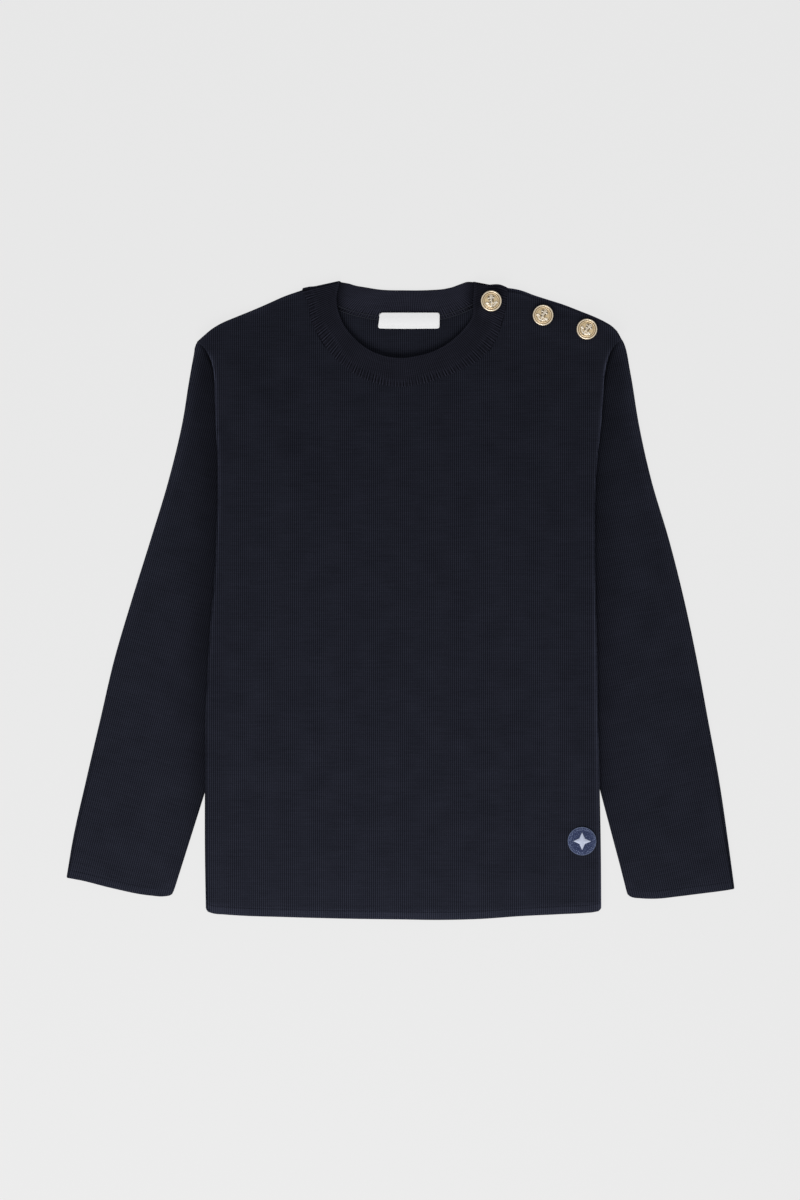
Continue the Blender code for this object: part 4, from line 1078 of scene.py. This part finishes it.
def thread_finish(name, dark, pale, strands, detail, strength, roughness, specular):
    """Thread: strands mixed from a dark tone to a pale one, the pale a painted highlight where they catch
    the light, so many to a metre, in a low relief.
    """
    made, tree = empty_material(name)
    place = node(tree, "TexCoord")
    strand = node(tree, "TexNoise", {"Vector": place.outputs["Object"], "Scale": strands, "Detail": detail})
    # Painted highlight: each strand's colour runs from the dark tone to the pale where it catches the light
    tone = node(tree, "Mix", {0: strand, 6: linear(dark), 7: linear(pale)}, data_type="RGBA")
    relief = node(tree, "Bump", {"Height": strand, "Distance": 0.1 * MM, "Strength": strength})
    thread = node(tree, "BsdfPrincipled", {"Base Color": tone.outputs[2], "Roughness": roughness,
                                           "Specular IOR Level": specular, "Normal": relief})
    node(tree, "OutputMaterial", {"Surface": thread})
    return made


# The same dyed cotton as the knit, in a smooth twist, a little paler where the light catches it
LINKING_YARN = thread_finish("navy linking yarn", "#15161D", "#282B35", strands=1500.0, detail=3.0,
                             strength=1.0, roughness=0.85, specular=0.2)

neck_line = at(back_neck, np.linspace(0, 1, 400))
neck_up = sideways(neck_line)
label_left, label_right = LABEL_MIDDLE.x - LABEL_SIZE[0] / 2 + 1, LABEL_MIDDLE.x + LABEL_SIZE[0] / 2 - 1
for side, shown in (("right", (neck_line[:, 0] > LINKS_END[0]) & (neck_line[:, 0] < label_left)),
                    ("left", (neck_line[:, 0] > label_right) & (neck_line[:, 0] < LINKS_END[1]))):
    for row, off in enumerate(LINK_ROWS):
        line = neck_line[shown] + neck_up[shown] * off
        height = height_at(soften(np.maximum(back_top, band_back_top), LINK_LIES_OVER), line) + LINK_RISE
        links = beaded(f"neck_links_{side}_{row}", np.column_stack([line, height]), LINK, LINK_RADIUS,
                       LINKING_YARN)
        belongs(links)


# Label: a woven white satin tab laid over the back neck seam and sewn at its corners. It is bare.

LABEL_WALL = 0.8
LABEL_CORNER = 2.0
LABEL_LEAN = 1.8
LABEL_SAG = 0.5
LABEL_PUFF = 0.35
LABEL_LIES_OVER = 2.0
LABEL_RIM = ((0.0, 1.0), (0.2, 0.92), (0.3, 0.6), (0.3, 0.3), (0.2, 0.0))
# The tacks at its corners: their length, how far in from its ends and edges, and their thread
TACK_LENGTH = 2.6
TACK_IN = (1.3, 0.6)
TACK_STITCH = 1.3
TACK_RADIUS = 0.17
TACK_RISE = 0.15
TACK_ENDS_SINK = 0.5

label_across = np.concatenate([[0, 0.012, 0.03], np.linspace(0.05, 0.95, 40), [0.97, 0.988, 1]]) - 0.5
label_up = np.concatenate([[0, 0.05, 0.1], np.linspace(0.16, 0.84, 12), [0.9, 0.95, 1]]) - 0.5
label_plan = np.stack(np.meshgrid(label_across * LABEL_SIZE[0], label_up * LABEL_SIZE[1],
                                  indexing="ij"), axis=-1)


def rounded_off(plan, size, corner):
    """A rectangle's plan with its corners drawn in to arcs: where a point lies past both corner
    centres it keeps its direction from them and its distance is held to the radius."""
    half = np.array(size) / 2 - corner
    past = np.clip(np.abs(plan) - half, 0, None)
    reach = np.maximum(np.linalg.norm(past, axis=-1), 1e-9)
    held = np.max(past, axis=-1) / reach
    return np.sign(plan) * (np.minimum(np.abs(plan), half) + past * held[..., None])


label_flat = rounded_off(label_plan, LABEL_SIZE, LABEL_CORNER)
label_sag = LABEL_SAG * np.cos(math.pi * label_flat[..., 0] / LABEL_SIZE[0]) * (label_flat[..., 1] < 0)
label_place = label_flat + (LABEL_MIDDLE.x, LABEL_MIDDLE.y)
label_place[..., 1] -= label_sag * np.abs(label_flat[..., 1]) / LABEL_SIZE[1]
# Its right end leans, so that the upper edge is a little shorter
to_left, to_top = (ramp(label_flat[..., axis] / LABEL_SIZE[axis], -0.5, 0.5) for axis in (0, 1))
label_place[..., 0] += LABEL_LEAN * to_top * (1 - to_left)
label_under = laid_over(np.maximum(back_top, band_back_top), LABEL_LIES_OVER) + SEAM_GAP
label_bottom = height_at(label_under, label_place)
label_puff = LABEL_PUFF * np.sin(math.pi * to_left)**0.5
label_puff *= 1 + 0.3 * np.sin(label_flat[..., 0] / 5.0 + 1.0)

# Satin: polyester floats lie side by side along the tab, smooth and white with a soft sheen
white_satin, tree = empty_material("white woven satin")
place = node(tree, "UVMap", uv_map="flat_mm")
threads = node(tree, "Mapping", {"Vector": place, "Scale": (0.4, 3.2, 1.0)})
float_noise = node(tree, "TexNoise", {"Vector": threads, "Scale": 1.0, "Detail": 4.0})
tone = node(tree, "Mix", {0: float_noise, 6: linear("#F0F0F2"), 7: linear("#FFFFFF")}, data_type="RGBA")
relief = node(tree, "Bump", {"Height": float_noise, "Distance": 0.12 * MM, "Strength": 1.0})
satin = node(tree, "BsdfPrincipled", {"Base Color": tone.outputs[2], "Roughness": 0.45,
                                      "Specular IOR Level": 0.4, "Sheen Weight": 0.2, "Normal": relief})
node(tree, "OutputMaterial", {"Surface": satin})

label = wall("label", label_place, label_bottom, label_bottom + LABEL_WALL + label_puff, LABEL_RIM,
             white_satin)
belongs(label, "neck_label")

label_top_field = label_under + LABEL_WALL
for side, corner_x in (("right", -1), ("left", 1)):
    for end, corner_y in (("low", -1), ("high", 1)):
        x = LABEL_MIDDLE.x + corner_x * (LABEL_SIZE[0] / 2 - TACK_IN[0])
        y = LABEL_MIDDLE.y + corner_y * (LABEL_SIZE[1] / 2 - TACK_IN[1])
        line = np.array([(x, y - corner_y * share * TACK_LENGTH, 0.0) for share in np.linspace(0, 1, 9)])
        line[:, 2] = height_at(label_top_field, line[:, :2]) + TACK_RISE
        line[[0, -1], 2] -= TACK_ENDS_SINK
        tack = beaded(f"label_tack_{side}_{end}", line, TACK_STITCH, TACK_RADIUS, white_satin)
        belongs(tack)


# Badge: a round woven patch sewn near the hem, with an overlocked rim of thread. A four-point
# compass star in pale thread stands on its mottled blue field.

BADGE_RADIUS = 11.4
BADGE_WALL = 1.0
FIELD_RADIUS = BADGE_RADIUS - 0.35
FIELD_CROWN = 0.25
BADGE_MIDDLE = Plan(145.1, -192.3)
RIM_RADIUS = 0.36
RIM_THREAD = 0.9
RIM_UP = 0.75
STAR_LONG = 7.0
STAR_SHORT = 3.1
STAR_UP = 0.15
# Share of the star's long radius, and height above the star's foot, from its underside to its top
STAR_PROFILE = ((0.15, 0.0), (0.4, 0.0), (0.7, 0.0), (1.0, 0.0), (1.02, 0.18), (0.96, 0.32),
                (0.7, 0.5), (0.4, 0.62), (0.15, 0.68))

# Woven jacquard: blue and grey threads a quarter of a millimetre wide, drawn at twice that so
# that their mottle shows
woven_field, tree = empty_material("blue jacquard weave")
place = node(tree, "UVMap", uv_map="flat_mm")
weft = node(tree, "Mapping", {"Vector": place, "Scale": (0.9, 2.0, 1.0)})
mottle = node(tree, "TexNoise", {"Vector": weft, "Scale": 1.0, "Detail": 3.0})
mottle = node(tree, "MapRange", {0: mottle, 1: 0.35, 2: 0.65})
thread = node(tree, "TexWave", {"Vector": place, "Scale": 0.62, "Distortion": 1.5, "Detail": 1.0},
              bands_direction="Y")
tone = node(tree, "Mix", {0: mottle, 6: linear("#0E1738"), 7: linear("#2F3B60")}, data_type="RGBA")
# Pale weft floats come to the face in small flecks, most of them in a ring beside the rim
fleck_noise = node(tree, "TexNoise", {"Vector": place, "Scale": 1.5, "Detail": 1.0})
from_middle = node(tree, "VectorMath", {0: place}, operation="LENGTH").outputs["Value"]
ring = node(tree, "MapRange", {0: from_middle, 1: 8.0, 2: 8.8, 3: 0.0, 4: 0.08})
fleck = node(tree, "Math", {0: fleck_noise, 1: ring}, operation="ADD")
fleck = node(tree, "MapRange", {0: fleck, 1: 0.63, 2: 0.70, 3: 0.0, 4: 0.8})
tone = node(tree, "Mix", {0: fleck, 6: tone.outputs[2], 7: linear("#7C88A6")}, data_type="RGBA")
shade = node(tree, "MapRange", {0: thread, 3: 0.8, 4: 1.15})
tone = node(tree, "VectorMath", {0: tone.outputs[2], "Scale": shade}, operation="SCALE")
relief = node(tree, "Bump", {"Height": thread, "Distance": 0.12 * MM, "Strength": 1.0})
weave = node(tree, "BsdfPrincipled", {"Base Color": tone, "Roughness": 0.7, "Specular IOR Level": 0.25,
                                      "Sheen Weight": 0.1, "Normal": relief})
node(tree, "OutputMaterial", {"Surface": weave})


# Rayon thread: smooth, with a soft shine, paler where the strands catch the light
RAYON = {"strands": 1300.0, "detail": 2.0, "strength": 0.8, "roughness": 0.5, "specular": 0.35}
RIM_THREADS = thread_finish("blue-grey overlock thread", "#1E2845", "#66728F", **RAYON)
STAR_THREADS = thread_finish("pale grey satin stitch", "#8A93AC", "#C2C8D8", **RAYON)


def dome(name, middle, radii, heights, sides, finish, shape=None):
    """A turned surface over the front: rings of points at radii and heights above it. shape gives
    each angle's share of the radius. The first and last rings close to a point."""
    angle = np.arange(sides) * math.tau / sides
    radius = np.array(radii)[:, None] * (np.ones(sides) if shape is None else shape(angle))
    plan = np.stack([radius * np.cos(angle), radius * np.sin(angle)], axis=-1)
    ground = height_at(front_top, plan + (middle.x, middle.y)) + SEAM_GAP / 2
    points = np.dstack([plan + (middle.x, middle.y), ground + np.array(heights)[:, None]]).reshape(-1, 3)
    faces = capped(np.arange(len(points)).reshape(-1, sides))
    seat = height_at(front_top, np.array([middle.x, middle.y])) + SEAM_GAP / 2
    points = np.vstack([points, [(middle.x, middle.y, seat + heights[end]) for end in (0, -1)]])
    return piece(name, points, faces, finish, points[:, :2] - (middle.x, middle.y))


rings = np.linspace(0.12, 1, 14) * FIELD_RADIUS
badge_radii = np.concatenate([rings, [FIELD_RADIUS], rings[::-1]])
crown = FIELD_CROWN * np.cos(rings[::-1] / FIELD_RADIUS * 1.5)
badge_heights = np.concatenate([np.zeros(len(rings)), [BADGE_WALL / 2], BADGE_WALL + crown])
badge = dome("badge_field", BADGE_MIDDLE, badge_radii, badge_heights, 64, woven_field)
belongs(badge, "hem_badge")

rim_angle = np.linspace(0, math.tau, 241)
rim_plan = np.column_stack([np.cos(rim_angle), np.sin(rim_angle)]) * (BADGE_RADIUS - RIM_RADIUS)
rim_plan += (BADGE_MIDDLE.x, BADGE_MIDDLE.y)
rim_line = np.column_stack([rim_plan, height_at(front_top, rim_plan) + SEAM_GAP / 2 + BADGE_WALL * RIM_UP])
badge_rim = beaded("badge_rim", rim_line, RIM_THREAD, RIM_RADIUS, RIM_THREADS, swell=0.22, sides=10,
                   closed=True)
belongs(badge_rim)


def star_share(angle):
    """A four-point star's share of its long radius at an angle: straight sides from each point to
    a waist between the points."""
    from_point = np.abs((angle + math.pi / 4) % (math.pi / 2) - math.pi / 4)
    waist = STAR_SHORT / STAR_LONG
    x, y = waist * math.cos(math.pi / 4), waist * math.sin(math.pi / 4)
    return y / (np.sin(from_point) * (1 - x) + np.cos(from_point) * y)


star_rings, star_heights = np.array(STAR_PROFILE).T
star = dome("badge_star", BADGE_MIDDLE, star_rings * STAR_LONG, BADGE_WALL + STAR_UP + star_heights, 96,
            STAR_THREADS, star_share)
belongs(star)


# Buttons: stamped gilt brass shanks. Each has a rolled bright rim, a groove, a ring of rope, and
# a domed middle with an anchor in relief. The shank goes through its buttonhole to the stand.

BUTTON_TOP = 3.4
SHANK_RADIUS = 1.4
BUTTON_SIDES = 144
INNER_RINGS = np.linspace(5.6, 0.12, 44)
ROPE_RADIUS = 6.35
ROPE_THICKNESS = 0.42
ROPE_TWIST = 1.15
ROPE_SIDES = 8
ROPE_UP = 1.86
RELIEF_HEIGHT = 0.5
ANCHOR_SIZE = 1.2
ANCHOR_BREADTH = 1.15
BESIDE_ANCHOR = 0.7
PIT_RADIUS = 0.62
RIM_CREST, RIM_BREADTH = 7.9, 0.45
GROOVE_RADIUS, GROOVE_BREADTH = 7.0, 0.28
CROWN_RADIUS, CROWN_FOOT, CROWN_GROOVE = 5.75, 2.05, 0.3
# The heads stand nearer to the camera than the cloth, so they are drawn a little smaller
HEAD_SIZE = 0.965


class Button(NamedTuple):
    """A button's node, its middle, and how far its anchor is turned to the left."""
    node: str
    x: float
    y: float
    turned: float


BUTTONS = (
    Button("button_neck", 72.4, 238.9, math.radians(6)),
    Button("button_middle", 113.9, 227.9, math.radians(-27)),
    Button("button_shoulder", 148.7, 216.4, math.radians(-42)),
)

# Radius, and height above the button's underside, from the shank's top out to the rim and in
BUTTON_PROFILE = (
    (SHANK_RADIUS, 0.0), (4.5, 0.0), (6.8, 0.05), (7.6, 0.2), (8.15, 0.5), (8.42, 0.9), (8.5, 1.3),
    (8.44, 1.65), (8.25, 1.95), (7.98, 2.12), (7.7, 2.14), (7.42, 2.02), (7.22, 1.8), (7.06, 1.6),
    (6.9, 1.56), (6.7, 1.62), (6.4, 1.74), (6.0, 1.9), (CROWN_RADIUS, 2.0),
)
# Lines of the anchor, in the button's own plan: half width, then the points
ANCHOR_LINES = (
    (0.42, ((0.0, 2.9), (0.0, -3.6))),
    (0.36, ((-1.9, 2.1), (1.9, 2.1))),
    (0.50, ((-1.95, 2.1), (-1.9, 2.1))),
    (0.50, ((1.9, 2.1), (1.95, 2.1))),
    (0.40, ((-3.3, -1.2), (-2.9, -2.2), (-2.0, -3.1), (-1.0, -3.6), (0.0, -3.8), (1.0, -3.6),
            (2.0, -3.1), (2.9, -2.2), (3.3, -1.2))),
    (0.42, ((-4.0, -1.7), (-3.3, -0.9), (-2.3, -1.5))),
    (0.42, ((4.0, -1.7), (3.3, -0.9), (2.3, -1.5))),
    (0.26, ((0.0, 2.9), (0.55, 3.3), (0.6, 3.9), (0.0, 4.3), (-0.6, 3.9), (-0.55, 3.3), (0.0, 2.9))),
    (0.24, ((0.6, 3.5), (1.5, 3.1), (1.3, 1.4), (0.2, 0.8), (-1.2, 0.2), (-1.3, -0.9), (0.1, -1.4),
            (1.5, -1.7), (1.7, -2.6))),
)
# Pits of dark lacquer between the anchor's rope and its shank
ANCHOR_PITS = ((-1.9, 3.6), (-1.6, 1.6), (1.3, 1.3), (1.6, -0.3), (-1.2, -1.2), (0.5, -5.0), (2.1, 3.2))


def off_line(places, line):
    """Distances of places from a line of straight spans."""
    nearest = np.full(places.shape[:-1], np.inf)
    for first, last in zip(line[:-1], line[1:]):
        span = np.subtract(last, first)
        from_first = places - first
        share = np.clip(from_first @ span / max(span @ span, 1e-9), 0, 1)
        nearest = np.minimum(nearest, np.linalg.norm(from_first - share[..., None] * span, axis=-1))
    return nearest


def anchor_relief(places):
    """How far the anchor stands up at places: half-round strips along its lines."""
    relief = np.zeros(places.shape[:-1])
    for half_width, line in ANCHOR_LINES:
        off = off_line(places / ANCHOR_SIZE, line) / (half_width * ANCHOR_BREADTH)
        strip = np.clip(1 - off**2, 0, 1)**0.5 * (0.75 + half_width / 2)
        relief = np.maximum(relief, RELIEF_HEIGHT * strip)
    return relief


def beside_anchor(places):
    """How near places are to the anchor's foot: 1 against it, and 0 from BESIDE_ANCHOR away."""
    off = np.min([off_line(places / ANCHOR_SIZE, line) - half_width * ANCHOR_BREADTH
                  for half_width, line in ANCHOR_LINES], axis=0)
    return ramp(off * ANCHOR_SIZE, BESIDE_ANCHOR, 0)


# Gilt brass, stamped and tumbled: the rim is burnished bright, the middle is satin, and dark
# lacquer stays in the groove and the hollows. The anchor and the rim's crest also carry a near-white
# painted highlight
gilt, tree = empty_material("stamped gilt brass")
place = node(tree, "UVMap", uv_map="flat_mm")
from_middle = node(tree, "VectorMath", {0: place}, operation="LENGTH").outputs["Value"]
hollow_of = node(tree, "Attribute", attribute_name="hollow").outputs["Fac"]
pitting = node(tree, "TexNoise", {"Vector": place, "Scale": 2.2, "Detail": 4.0})
smudge = node(tree, "TexNoise", {"Vector": place, "Scale": 0.35, "Detail": 2.0})
tone = node(tree, "Mix", {0: smudge, 6: linear("#F6CC90"), 7: linear("#FFEEC2")}, data_type="RGBA")
# Painted highlight: raised parts are painted near-white, on metal that is burnished there
burnish_and_highlight_of = node(tree, "Attribute", attribute_name="burnish_and_highlight").outputs["Fac"]
tone = node(tree, "Mix", {0: burnish_and_highlight_of, 6: tone.outputs[2], 7: linear("#FFF5E4")}, data_type="RGBA")
lacquer = node(tree, "MapRange", {0: hollow_of, 1: 0.0, 2: 1.0, 3: 0.0, 4: 0.92})
tone = node(tree, "Mix", {0: lacquer, 6: tone.outputs[2], 7: linear("#2C1E10")}, data_type="RGBA")
satin_share = node(tree, "MapRange", {0: from_middle, 1: 7.4, 2: 6.6, 3: 0.17, 4: 0.25})
rough = node(tree, "Math", {0: pitting, 1: 0.16, 2: satin_share}, operation="MULTIPLY_ADD")
relief = node(tree, "Bump", {"Height": pitting, "Distance": 0.05 * MM, "Strength": 0.7})
brass = node(tree, "BsdfPrincipled", {"Base Color": tone.outputs[2], "Metallic": 0.48, "Roughness": rough,
                                      "Normal": relief})
node(tree, "OutputMaterial", {"Surface": brass})


def button(made_from):
    """A turned head with a pole at its crown and at its shank's foot, plus a twisted ring of rope
    that lies on it. The inner part of the head is raised by the anchor."""
    low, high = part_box(made_from.node)
    foot, seat = low.z / MM, high.z / MM - BUTTON_TOP
    crown = CROWN_FOOT + (BUTTON_TOP - RELIEF_HEIGHT - CROWN_FOOT) * (1 - (INNER_RINGS / CROWN_RADIUS)**2)
    radius = np.array([SHANK_RADIUS, SHANK_RADIUS, *(r for r, _ in BUTTON_PROFILE[1:]), *INNER_RINGS])
    rise = np.array([foot - seat, 0.0, *(z for _, z in BUTTON_PROFILE[1:]), *crown])
    angle = np.arange(BUTTON_SIDES) * math.tau / BUTTON_SIDES
    plan = np.stack([radius[:, None] * np.cos(angle), radius[:, None] * np.sin(angle)], axis=-1)
    upper = len(radius) - len(INNER_RINGS)
    relief = np.zeros(plan.shape[:2])
    relief[upper:] = anchor_relief(plan[upper:])
    height = seat + rise[:, None] + relief
    hollow = np.zeros(plan.shape[:2])
    raised = relief[upper:] > 0.05
    speckle = 0.5 + 0.5 * np.sin(plan[upper:, :, 0] * 3.1) * np.sin(plan[upper:, :, 1] * 2.7 + 1)
    hollow[upper:] = np.where(raised, 0.0, 0.06 + beside_anchor(plan[upper:]) * speckle)
    for pit in ANCHOR_PITS:
        hollow[upper:] += 1.1 * bell(np.linalg.norm(plan[upper:] - pit, axis=-1), PIT_RADIUS)
    # Painted highlight on the anchor and the rim's crest, where the metal is also burnished
    burnish_and_highlight = np.zeros(plan.shape[:2])
    burnish_and_highlight[upper:] = np.where(raised, 0.9, 0.1)
    on_top, ring_radius = rise[:, None] > 1, radius[:, None]
    burnish_and_highlight += 0.9 * on_top * bell(ring_radius - RIM_CREST, RIM_BREADTH)
    hollow += on_top * bell(ring_radius - GROOVE_RADIUS, GROOVE_BREADTH)
    hollow += 0.7 * on_top * bell(ring_radius - CROWN_RADIUS, CROWN_GROOVE)
    points = np.dstack([plan, height]).reshape(-1, 3)
    faces = capped(np.arange(len(points)).reshape(-1, BUTTON_SIDES))
    poles = np.array([(0, 0, foot), (0, 0, height[-1].mean())])
    strands = int(math.tau * ROPE_RADIUS / ROPE_TWIST) * ROPE_SIDES
    along = np.arange(strands) * math.tau / strands
    around = np.arange(ROPE_SIDES) * math.tau / ROPE_SIDES
    twist = 1 + 0.26 * np.sin(2 * around[None] + along[:, None] * strands / ROPE_SIDES)
    rope_radius = ROPE_RADIUS + ROPE_THICKNESS * twist * np.cos(around)
    rope = np.dstack([rope_radius * np.cos(along)[:, None], rope_radius * np.sin(along)[:, None],
                      seat + ROPE_UP + ROPE_THICKNESS * twist * np.sin(around)]).reshape(-1, 3)
    first = len(points) + len(poles)
    faces += skin(first + np.arange(len(rope)).reshape(-1, ROPE_SIDES), closed=True)
    points = np.vstack([points, poles, rope])
    flat = points[:, :2].copy()
    cos, sin = math.cos(made_from.turned), math.sin(made_from.turned)
    points[:, :2] = HEAD_SIZE * points[:, :2] @ np.array([[cos, sin], [-sin, cos]])
    points[:, :2] += (made_from.x, made_from.y)
    made = piece(made_from.node + "_head", points, faces, gilt, flat)
    for layer, values, on_rope in (("hollow", hollow, 0.0), ("burnish_and_highlight", burnish_and_highlight, 0.3)):
        carry(made.data, layer, np.append(values, np.full(len(poles) + len(rope), on_rope)).clip(0, 1))
    belongs(made, made_from.node)


for made_from in BUTTONS:
    button(made_from)
